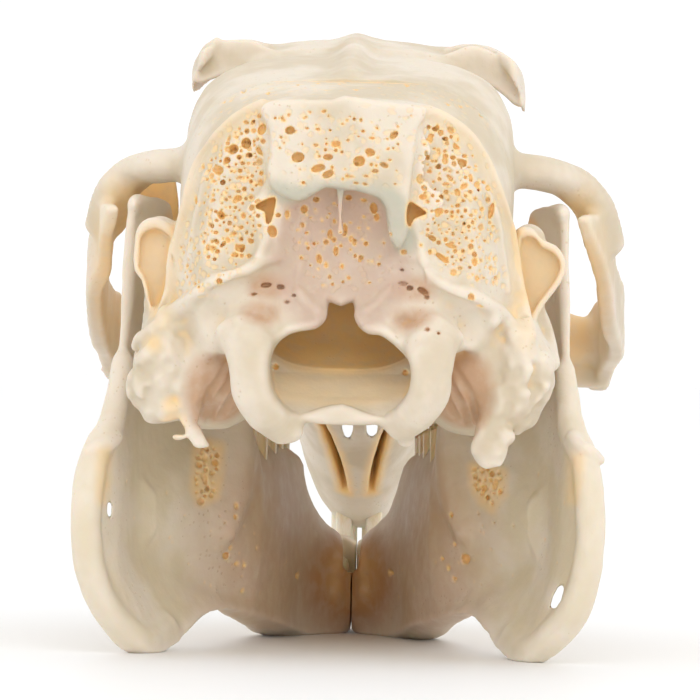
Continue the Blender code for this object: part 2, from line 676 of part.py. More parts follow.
def build_teeth():
    """Make all the teeth, and return the socket forms of each bone."""
    sockets = {"cranium": [], "mandible_left": [], "mandible_right": []}
    upper = (UPPER_ROW_U, UPPER_ROW_X, UPPER_HALF_LENGTH, UPPER_HALF_WIDTH)
    lower = (LOWER_ROW_U, LOWER_ROW_X, LOWER_HALF_LENGTH, LOWER_HALF_WIDTH)
    for side, word in ((-1, "left"), (1, "right")):
        jaw = f"mandible_{word}"
        row = cheek_row("upper_cheek_tooth", word, side, upper, UPPER_BITE, UPPER_ROOT)
        sockets["cranium"].append(row)
        row = cheek_row("lower_cheek_tooth", word, side, lower, LOWER_BITE, LOWER_ROOT)
        sockets[jaw].append(row)
        for bone, stem, points, x, radii in (
            ("cranium", "upper_incisor", UPPER_INCISOR, UPPER_INCISOR_X, UPPER_INCISOR_RADII),
            ("cranium", "upper_peg_tooth", PEG, PEG_X, PEG_RADII),
            (jaw, "lower_incisor", LOWER_INCISOR, LOWER_INCISOR_X, LOWER_INCISOR_RADII),
        ):
            sockets[bone].append(front_tooth(f"{stem}_{word}", points, x, radii, side))
    return sockets


def build_cranium(socket_forms):
    item = make_object("cranium", finish_mesh("cranium", cranium_form()), BONE_COLOUR, BONE_ROUGHNESS)
    fuse(item, CRANIUM_VOXEL)
    cutters = [("foramen_magnum", foramen_form())]
    for name, stations in (("brain_hollow", BRAIN_HOLLOW), ("nasal_hollow", NASAL_HOLLOW)):
        hollow = bmesh.new()
        add_loft(hollow, stations)
        cutters.append((name, hollow))
    for side, word in ((-1, "left"), (1, "right")):
        cutters.append((f"incisive_slit_{word}", slit_form(side)))
    for index, form in enumerate(socket_forms):
        cutters.append((f"upper_socket_{index}", form))
    cut_with(item, cutters)
    thin_out(item, CRANIUM_KEEP)
    apply_shape(item)
    return item


def build_jaw(side, word, socket_forms):
    name = f"mandible_{word}"
    item = make_object(name, finish_mesh(name, jaw_form(side)), JAW_COLOUR, BONE_ROUGHNESS)
    fuse(item, JAW_VOXEL)
    across, rear_u, low_z = MIDLINE_CUT_REAR
    front_u, high_z = MIDLINE_CUT_FRONT
    midline = box_form((-side * across, rear_u, low_z), (side * SYMPHYSIS_FACE, front_u, high_z))
    cutters = [(f"{name}_socket_{index}", form) for index, form in enumerate(socket_forms)]
    cutters.append((name + "_midline", midline))
    cutters.append((name + "_rest", box_form(*REST_CUT)))
    cut_with(item, cutters)
    thin_out(item, JAW_KEEP)
    apply_shape(item)
    true_up(item.data, side)
    return item


def apply_shape(item):
    """Keep the shape that the modifiers make, and drop them."""
    depsgraph = bpy.context.evaluated_depsgraph_get()
    shaped = bpy.data.meshes.new_from_object(item.evaluated_get(depsgraph))
    item.modifiers.clear()
    item.data = shaped
    drop_flaps(shaped)


def drop_flaps(mesh_data):
    """Thinning leaves a few tiny triangles that hang on one edge: take them off."""
    form = bmesh.new()
    form.from_mesh(mesh_data)
    for _ in range(3):
        flaps = [face for face in form.faces if any(edge.is_boundary for edge in face.edges)]
        bmesh.ops.delete(form, geom=flaps, context="FACES_ONLY")
        loose = [edge for edge in form.edges if not edge.link_faces]
        bmesh.ops.delete(form, geom=loose, context="EDGES")
    form.to_mesh(mesh_data)
    form.free()


def true_up(mesh_data, side):
    """Thinning leaves the ground facets and the midline face a hair uneven: make them flat again."""
    face = place(side * SYMPHYSIS_FACE, 0.0, 0.0).x
    for corner in mesh_data.vertices:
        if corner.co.z < FLAT_BAND * MM:
            corner.co.z = 0.0
        if abs(corner.co.x - face) < FLAT_BAND * MM:
            corner.co.x = face


def build():
    clear_scene()
    sockets = build_teeth()
    build_cranium(sockets["cranium"])
    build_jaw(-1, "left", sockets["mandible_left"])
    build_jaw(1, "right", sockets["mandible_right"])


build()
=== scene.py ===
# Cleaned skull of a European rabbit with its lower jaw, seen straight from behind.
# Lengths are in millimetres, x to the animal's right, u forward from the rear, z up; place() makes them metres.
import math
import time

import bpy
import numpy as np
import openvdb as vdb
from mathutils import Matrix, Vector


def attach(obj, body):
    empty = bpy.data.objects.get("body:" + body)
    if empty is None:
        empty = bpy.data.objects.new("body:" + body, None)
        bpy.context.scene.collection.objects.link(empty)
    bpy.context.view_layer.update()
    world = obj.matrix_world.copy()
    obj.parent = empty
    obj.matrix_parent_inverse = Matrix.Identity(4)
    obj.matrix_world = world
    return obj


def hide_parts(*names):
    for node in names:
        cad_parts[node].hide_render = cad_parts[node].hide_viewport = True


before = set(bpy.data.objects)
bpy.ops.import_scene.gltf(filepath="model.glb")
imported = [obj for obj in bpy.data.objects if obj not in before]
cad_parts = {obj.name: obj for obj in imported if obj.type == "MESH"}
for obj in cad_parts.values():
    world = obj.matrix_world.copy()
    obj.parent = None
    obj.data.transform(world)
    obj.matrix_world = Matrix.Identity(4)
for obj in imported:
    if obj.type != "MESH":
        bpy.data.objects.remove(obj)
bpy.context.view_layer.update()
started = time.time()

skull = {
    "mm": 0.001,
    "middleU": 36.27,   # u of the middle of the length
    "midline": 0.41,    # x of the middle of the width, the right arch being the wider
    "ground": 0.15,     # z of the surface that the jaw stands on
    "hollowReach": {"hollow": 1.6, "crease": 0.45},
}


def say(stage):
    print(f"{stage} ({time.time() - started:.0f} s)")


def place(points):
    shift = np.array((skull["midline"], skull["middleU"], skull["ground"]))
    return (np.asarray(points, float) - shift) * skull["mm"]


# Camera, from how far parts shrink and drift with depth in the photograph.
camera = {
    "eye": (12.4, -379.2, 22.5),
    "aimX": 157.4,      # photo pixels from the image's middle to the point straight ahead
    "aimZ": 11.7,
    "reach": 5195.0,    # focal length in photo pixels
    "roll": 1.25,
    "frame": 700.0,
    "sensor": 36.0,
}


def makeCamera():
    eye = Vector(place(camera["eye"]))
    turn = math.atan2(camera["aimX"], camera["reach"])
    tilt = math.atan2(camera["aimZ"], camera["reach"])
    ahead = Vector((-math.sin(turn) * math.cos(tilt), math.cos(turn) * math.cos(tilt), math.sin(tilt)))
    aim = ahead.to_track_quat("-Z", "Y").to_matrix().to_4x4()
    lens = bpy.data.cameras.new("camera")
    lens.sensor_width = camera["sensor"]
    lens.lens = camera["sensor"] * camera["reach"] / camera["frame"]
    lens.clip_start = 0.01
    lens.clip_end = 20.0
    item = bpy.data.objects.new("camera", lens)
    item.matrix_world = Matrix.Translation(eye) @ aim @ Matrix.Rotation(math.radians(camera["roll"]), 4, "Z")
    bpy.context.scene.collection.objects.link(item)
    bpy.context.scene.camera = item


def seen(px, py, u):
    # the point at depth u that shows at a pixel of the photograph
    angle = math.radians(camera["roll"])
    half = camera["frame"] / 2
    across = (px - half) * math.cos(angle) + (py - half) * math.sin(angle) + half
    down = -(px - half) * math.sin(angle) + (py - half) * math.cos(angle) + half
    scale = (u - camera["eye"][1]) / camera["reach"]
    x = camera["eye"][0] + (across - half - camera["aimX"]) * scale
    z = camera["eye"][2] + (half + camera["aimZ"] - down) * scale
    return x, z


def pixelOf(x, u, z):
    scale = (u - camera["eye"][1]) / camera["reach"]
    angle = math.radians(camera["roll"])
    across = (x - camera["eye"][0]) / scale + camera["aimX"]
    down = camera["aimZ"] - (z - camera["eye"][2]) / scale
    half = camera["frame"] / 2
    px = across * math.cos(angle) - down * math.sin(angle) + half
    py = across * math.sin(angle) + down * math.cos(angle) + half
    return px, py, scale


# A block of signed distances, negative inside the bone, in which forms are joined and carved.
def softMin(a, b, blend):
    if blend <= 0:
        return np.minimum(a, b)
    share = np.clip(0.5 + 0.5 * (b - a) / blend, 0.0, 1.0)
    return b + (a - b) * share - blend * share * (1.0 - share)


class Block:
    def __init__(self, low, high, step, far=2.5):
        self.low = np.array(low, np.float32)
        self.step = step
        self.far = far
        shape = np.ceil((np.array(high) - np.array(low)) / step).astype(int) + 1
        self.values = np.full(tuple(shape), far, np.float32)
        self.tints = {}

    def window(self, low, high):
        a = np.clip(np.floor((np.array(low) - self.low) / self.step).astype(int), 0, self.values.shape)
        b = np.clip(np.ceil((np.array(high) - self.low) / self.step).astype(int) + 1, 0, self.values.shape)
        where = tuple(slice(i, j) for i, j in zip(a, b))
        lines = [self.low[k] + self.step * np.arange(a[k], b[k], dtype=np.float32) for k in range(3)]
        return where, lines[0][:, None, None], lines[1][None, :, None], lines[2][None, None, :]

    def join(self, form, blend=0.4):
        low, high, distance = form
        where, x, u, z = self.window(np.array(low) - blend, np.array(high) + blend)
        if self.values[where].size:
            self.values[where] = softMin(self.values[where], np.minimum(distance(x, u, z), self.far), blend)

    def carve(self, form, blend=0.2):
        low, high, distance = form
        where, x, u, z = self.window(np.array(low) - blend, np.array(high) + blend)
        if self.values[where].size:
            away = np.maximum(-distance(x, u, z), -self.far)
            self.values[where] = -softMin(-self.values[where], -away, blend)

    def tint(self, form, name, strength=1.0, soft=0.3):
        # colour laid into the bone in and round a form: real stains, and also painted shade and painted light
        low, high, distance = form
        where, x, u, z = self.window(np.array(low) - soft, np.array(high) + soft)
        tintValues = self.tints.setdefault(name, np.zeros(self.values.shape, np.float16))
        if tintValues[where].size:
            share = np.clip(1.0 - distance(x, u, z) / soft, 0.0, 1.0) * strength
            tintValues[where] = np.maximum(tintValues[where], share)

    def onSurface(self, px, py, guess=3.0):
        # where the line of sight through a pixel meets the bone
        for _ in range(2):
            x, z = seen(px, py, guess)
            i = int(np.clip(round((x - self.low[0]) / self.step), 0, self.values.shape[0] - 1))
            k = int(np.clip(round((z - self.low[2]) / self.step), 0, self.values.shape[2] - 1))
            bone = np.nonzero(self.values[i, :, k] < 0)[0]
            if len(bone):
                guess = self.low[1] + self.step * float(bone[0])
        return x, guess, z


def smoothLine(points, steps=6, closed=False):
    # a smooth curve through the given points
    points = np.asarray(points, float)
    if closed:
        ring = np.vstack([points[-1:], points, points[:2]])
    else:
        ring = np.vstack([points[:1], points, points[-1:]])
    t = (np.arange(steps) / steps)[:, None]
    parts = []
    for p0, p1, p2, p3 in zip(ring, ring[1:], ring[2:], ring[3:]):
        bend = (2 * p0 - 5 * p1 + 4 * p2 - p3) * t ** 2 + (3 * p1 - p0 - 3 * p2 + p3) * t ** 3
        parts.append(0.5 * (2 * p1 + (p2 - p0) * t + bend))
    if not closed:
        parts.append(points[-1:])
    return np.vstack(parts)


def outlineDistance(points, a, b):
    # signed distance in the plane to a closed outline, negative inside
    inside = np.zeros(np.broadcast(a, b).shape, bool)
    best = np.full(inside.shape, 1e6, np.float32)
    for (a0, b0), (a1, b1) in zip(points, np.roll(points, -1, axis=0)):
        da = a1 - a0
        db = b1 - b0
        share = np.clip(((a - a0) * da + (b - b0) * db) / max(da * da + db * db, 1e-9), 0.0, 1.0)
        best = np.minimum(best, (a - a0 - share * da) ** 2 + (b - b0 - share * db) ** 2)
        if abs(db) > 1e-9:
            inside ^= ((b0 > b) != (b1 > b)) & (a < da * (b - b0) / db + a0)
    return np.where(inside, -1.0, 1.0) * np.sqrt(best)


# Each form is its lowest and highest corner and a function that gives the distance to it.
def lump(x0, u0, z0, halfX, halfU, halfZ):
    def distance(x, u, z):
        a = ((x - x0) / halfX) ** 2 + ((u - u0) / halfU) ** 2 + ((z - z0) / halfZ) ** 2
        b = ((x - x0) / halfX ** 2) ** 2 + ((u - u0) / halfU ** 2) ** 2 + ((z - z0) / halfZ ** 2) ** 2
        return (np.sqrt(a) + 1e-4) * (np.sqrt(a) - 1.0) / (np.sqrt(b) + 1e-4)

    return (x0 - halfX, u0 - halfU, z0 - halfZ), (x0 + halfX, u0 + halfU, z0 + halfZ), distance


def loft(stations):
    # superellipse sections: u, half width low, half width high, z low, z high, squareness
    table = smoothLine(stations, 8)
    widest = max(table[:, 1].max(), table[:, 2].max())

    def distance(x, u, z):
        row = [
            np.interp(u.ravel(), table[:, 0], table[:, k]).astype(np.float32)[None, :, None] for k in range(1, 6)
        ]
        middle = (row[2] + row[3]) / 2
        half = (row[3] - row[2]) / 2
        up = (z - middle) / half
        width = row[0] + (row[1] - row[0]) * (np.clip(up, -1.0, 1.0) + 1.0) / 2
        size = ((np.abs(x) / width) ** row[4] + np.abs(up) ** row[4]) ** (1.0 / row[4])
        away = np.hypot(x, z - middle) + 1e-3
        sides = away * (1.0 - 1.0 / (size + 1e-4))
        ends = np.maximum(table[0, 0] - u, u - table[-1, 0])
        return -softMin(-sides, -ends, 0.5)

    return (-widest, table[0, 0], table[:, 3].min()), (widest, table[-1, 0], table[:, 4].max()), distance


def plate(axis, outline, middle, thickness, rounding=0.35, steps=4):
    # a bent plate of a given outline; its middle surface is a function of the two other coordinates
    points = smoothLine(outline, steps, closed=True)

    def distance(x, u, z):
        a, b, c = ((u, z, x), (x, z, u), (x, u, z))[axis]
        nudge = 0.2
        steepA = (middle(a + nudge, b) - middle(a - nudge, b)) / (2 * nudge)
        steepB = (middle(a, b + nudge) - middle(a, b - nudge)) / (2 * nudge)
        lean = 1.0 / np.sqrt(1.0 + steepA ** 2 + steepB ** 2)
        flat = outlineDistance(points, a, b) + rounding
        across = np.abs(c - middle(a, b)) * lean - thickness(a, b) / 2 + rounding
        inner = np.minimum(np.maximum(flat, across), 0.0)
        return inner + np.hypot(np.maximum(flat, 0.0), np.maximum(across, 0.0)) - rounding

    a = np.linspace(points[:, 0].min(), points[:, 0].max(), 24)[:, None]
    b = np.linspace(points[:, 1].min(), points[:, 1].max(), 24)[None, :]
    heights = middle(a, b) + 0 * a * b
    spans = [(a.min(), a.max()), (b.min(), b.max()), (heights.min() - 1.5, heights.max() + 1.5)]
    order = ((2, 0, 1), (0, 2, 1), (0, 1, 2))[axis]
    return tuple(spans[k][0] for k in order), tuple(spans[k][1] for k in order), distance


def tube(points, radii, flat=(1.0, 1.0, 1.0), steps=5):
    # a round bar through the points with changing radii, thinner along an axis where flat is under 1
    line = smoothLine(points, steps)
    radius = np.interp(np.linspace(0, 1, len(line)), np.linspace(0, 1, len(radii)), radii)
    squeeze = np.array(flat, float)

    def distance(x, u, z):
        best = np.full(np.broadcast(x, u, z).shape, 1e3, np.float32)
        lines = (x.ravel(), u.ravel(), z.ravel())
        for a, b, ra, rb in zip(line, line[1:], radius, radius[1:]):
            near = max(ra, rb) + 1.2
            ends = [
                np.searchsorted(lines[k], (min(a[k], b[k]) - near, max(a[k], b[k]) + near)) for k in range(3)
            ]
            part = tuple(slice(i, j) for i, j in ends)
            if best[part].size == 0:
                continue
            p = (x[part[0]] - a[0], u[:, part[1]] - a[1], z[:, :, part[2]] - a[2])
            along = b - a
            share = sum(p[k] * along[k] for k in range(3)) / max(along @ along, 1e-9)
            share = np.clip(share, 0.0, 1.0)
            away = np.sqrt(sum(((p[k] - share * along[k]) / squeeze[k]) ** 2 for k in range(3)))
            best[part] = np.minimum(best[part], away * squeeze.min() ** 0.5 - (ra + (rb - ra) * share))
        return best

    reach = radius.max() * 1.05
    return line.min(0) - reach, line.max(0) + reach, distance


def sight(pixels, near, far):
    # a prism along the lines of sight through a pixel outline, between two depths
    corners = np.array([seen(px, py, u) for px, py in pixels for u in (near, far)])

    def distance(x, u, z):
        px, py, scale = pixelOf(x, u, z)
        flat = outlineDistance(np.array(pixels, float), px, py) * scale
        return np.maximum(flat, np.maximum(near - u, u - far))

    (lowX, lowZ), (highX, highZ) = corners.min(0), corners.max(0)
    return (lowX, near, lowZ), (highX, far, highZ), distance


def facing(pixels, u, thickness, rounding=0.3):
    # a plate seen face on through its pixel outline at depth u
    outline = [seen(px, py, u) for px, py in pixels]
    return plate(1, outline, lambda x, z: u + 0 * x * z, lambda x, z: thickness + 0 * x * z, rounding, 2)


def cloud(block, size, seed):
    # smooth noise of one patch size, the same wherever two blocks overlap
    start = np.array((-25.0, -4.0, -4.0))
    cells = np.ceil(np.array((52.0, 82.0, 58.0)) / size).astype(int) + 3
    values = np.random.default_rng(seed).uniform(-2.0, 2.0, cells).astype(np.float32)
    for axis, count in enumerate(block.values.shape):
        at = (block.low[axis] + block.step * np.arange(count) - start[axis]) / size
        cell = at.astype(int)
        t = at - cell
        share = np.zeros((count, cells[axis]), np.float32)
        share[np.arange(count), cell] = (1.0 - t) ** 2 / 2
        share[np.arange(count), cell + 1] = 0.5 + t - t ** 2
        share[np.arange(count), cell + 2] = t ** 2 / 2
        values = np.moveaxis(np.tensordot(share, values, (1, axis)), 0, axis)
    return values


def roughen(block, patches):
    # uneven bone: each patch size with its height in mm, and its height where the bone is marked rough
    rough = block.tints.get("rough", 0.0)
    for number, (size, height, roughHeight) in enumerate(patches):
        block.values += cloud(block, size, 40 + number) * (height + (roughHeight - height) * rough)


def alongSight(points):
    # pixels with their depths, as places
    return [(x, u, z) for x, z, u in ((*seen(px, py, u), u) for px, py, u in points)]


def drawn(pixels, u, shift=0.0):
    return [(x, u + shift, z) for x, z in (seen(px, py, u) for px, py in pixels)]


def mirrored(points, side):
    return [(side * x, u, z) for x, u, z in points]


# Turning a block into a mesh, with what the materials read.
def largestPart(points, faces):
    edges = np.vstack([faces[:, :2], faces[:, 1:]])
    label = np.arange(len(points))
    while True:
        before = label.copy()
        lowest = np.minimum(label[edges[:, 0]], label[edges[:, 1]])
        np.minimum.at(label, edges[:, 0], lowest)
        np.minimum.at(label, edges[:, 1], lowest)
        label = label[label]
        if np.array_equal(before, label):
            break
    biggest = np.bincount(label).argmax()
    keep = label == biggest
    number = np.cumsum(keep) - 1
    return points[keep], number[faces[keep[faces[:, 0]]]]


def makeMesh(name, points, faces):
    meshData = bpy.data.meshes.new(name)
    meshData.vertices.add(len(points))
    meshData.vertices.foreach_set("co", np.asarray(points, np.float32).ravel())
    meshData.loops.add(faces.size)
    meshData.loops.foreach_set("vertex_index", faces.astype(np.int32).ravel())
    meshData.polygons.add(len(faces))
    starts = np.arange(0, faces.size, faces.shape[1], dtype=np.int32)
    meshData.polygons.foreach_set("loop_start", starts)
    meshData.update(calc_edges=True)
    meshData.validate()
    meshData.polygons.foreach_set("use_smooth", np.ones(len(meshData.polygons), bool))
    item = bpy.data.objects.new(name, meshData)
    bpy.context.scene.collection.objects.link(item)
    return item


def plain(item):
    # the shape that an object's modifiers give, as a plain mesh
    depsgraph = bpy.context.evaluated_depsgraph_get()
    shaped = bpy.data.meshes.new_from_object(item.evaluated_get(depsgraph))
    item.modifiers.clear()
    old = item.data
    item.data = shaped
    bpy.data.meshes.remove(old)


def vertexPlaces(meshData):
    values = np.zeros(len(meshData.vertices) * 3, np.float32)
    meshData.vertices.foreach_get("co", values)
    return values.reshape(-1, 3)


def skin(name, block, limit):
    grid = vdb.FloatGrid(block.far)
    grid.copyFromArray(block.values)
    points, triangles, quads = grid.convertToPolygons(isovalue=0.0, adaptivity=0.0)
    faces = np.vstack([triangles, quads[:, :3], quads[:, [0, 2, 3]]]).astype(np.int64)
    points, faces = largestPart(np.asarray(points, float), faces)
    corners = points[faces]
    volume = np.einsum("ij,ij->i", corners[:, 0], np.cross(corners[:, 1], corners[:, 2])).sum()
    if volume < 0:
        faces = faces[:, ::-1]
    item = makeMesh(name, place(block.low + points * block.step), faces)
    if len(faces) > limit:
        thin = item.modifiers.new("thin", "DECIMATE")
        thin.ratio = limit / len(faces)
        plain(item)
    say(f"{name}: {len(faces)} faces, {len(item.data.polygons)} kept")
    return item


def boxBlur(values, reach):
    for _ in range(2):
        for axis in range(3):
            width = 2 * reach + 1
            pad = [(reach + 1, reach) if k == axis else (0, 0) for k in range(3)]
            total = np.cumsum(np.pad(values, pad, mode="edge"), axis=axis, dtype=np.float32)
            ends = [slice(None)] * 3
            ends[axis] = slice(width, None)
            begins = [slice(None)] * 3
            begins[axis] = slice(0, -width)
            values = (total[tuple(ends)] - total[tuple(begins)]) / width
    return values


def readBlock(block, values, stride, item):
    # a block's values at the vertices of a mesh, between the cells' middles
    points = vertexPlaces(item.data) / skull["mm"] + (skull["midline"], skull["middleU"], skull["ground"])
    at = np.clip((points - block.low) / (block.step * stride), 0.0, np.array(values.shape) - 1.001)
    cell = at.astype(int)
    share = at - cell
    total = np.zeros(len(points))
    for corner in np.ndindex(2, 2, 2):
        weight = np.prod(np.where(corner, share, 1.0 - share), axis=1)
        i, j, k = (cell + corner).T
        total += weight * values[i, j, k]
    return total


def setValue(item, name, values):
    attribute = item.data.attributes.new(name, "FLOAT", "POINT")
    attribute.data.foreach_set("value", np.asarray(values, np.float32))


def markHollows(item, block):
    # how much bone stands round each point: over a half in a hollow, under a half on an edge
    bone = np.clip(0.5 - block.values[::2, ::2, ::2] / (2 * block.step), 0.0, 1.0)
    for name, reach in skull["hollowReach"].items():
        cells = max(1, round(reach / (2 * block.step)))
        setValue(item, name, readBlock(block, boxBlur(bone, cells), 2, item))
    for name in ("amber", "rose", "grey", "brown", "porous"):
        if name in block.tints:
            setValue(item, name, readBlock(block, block.tints[name], 1, item))
        else:
            setValue(item, name, np.zeros(len(item.data.vertices)))


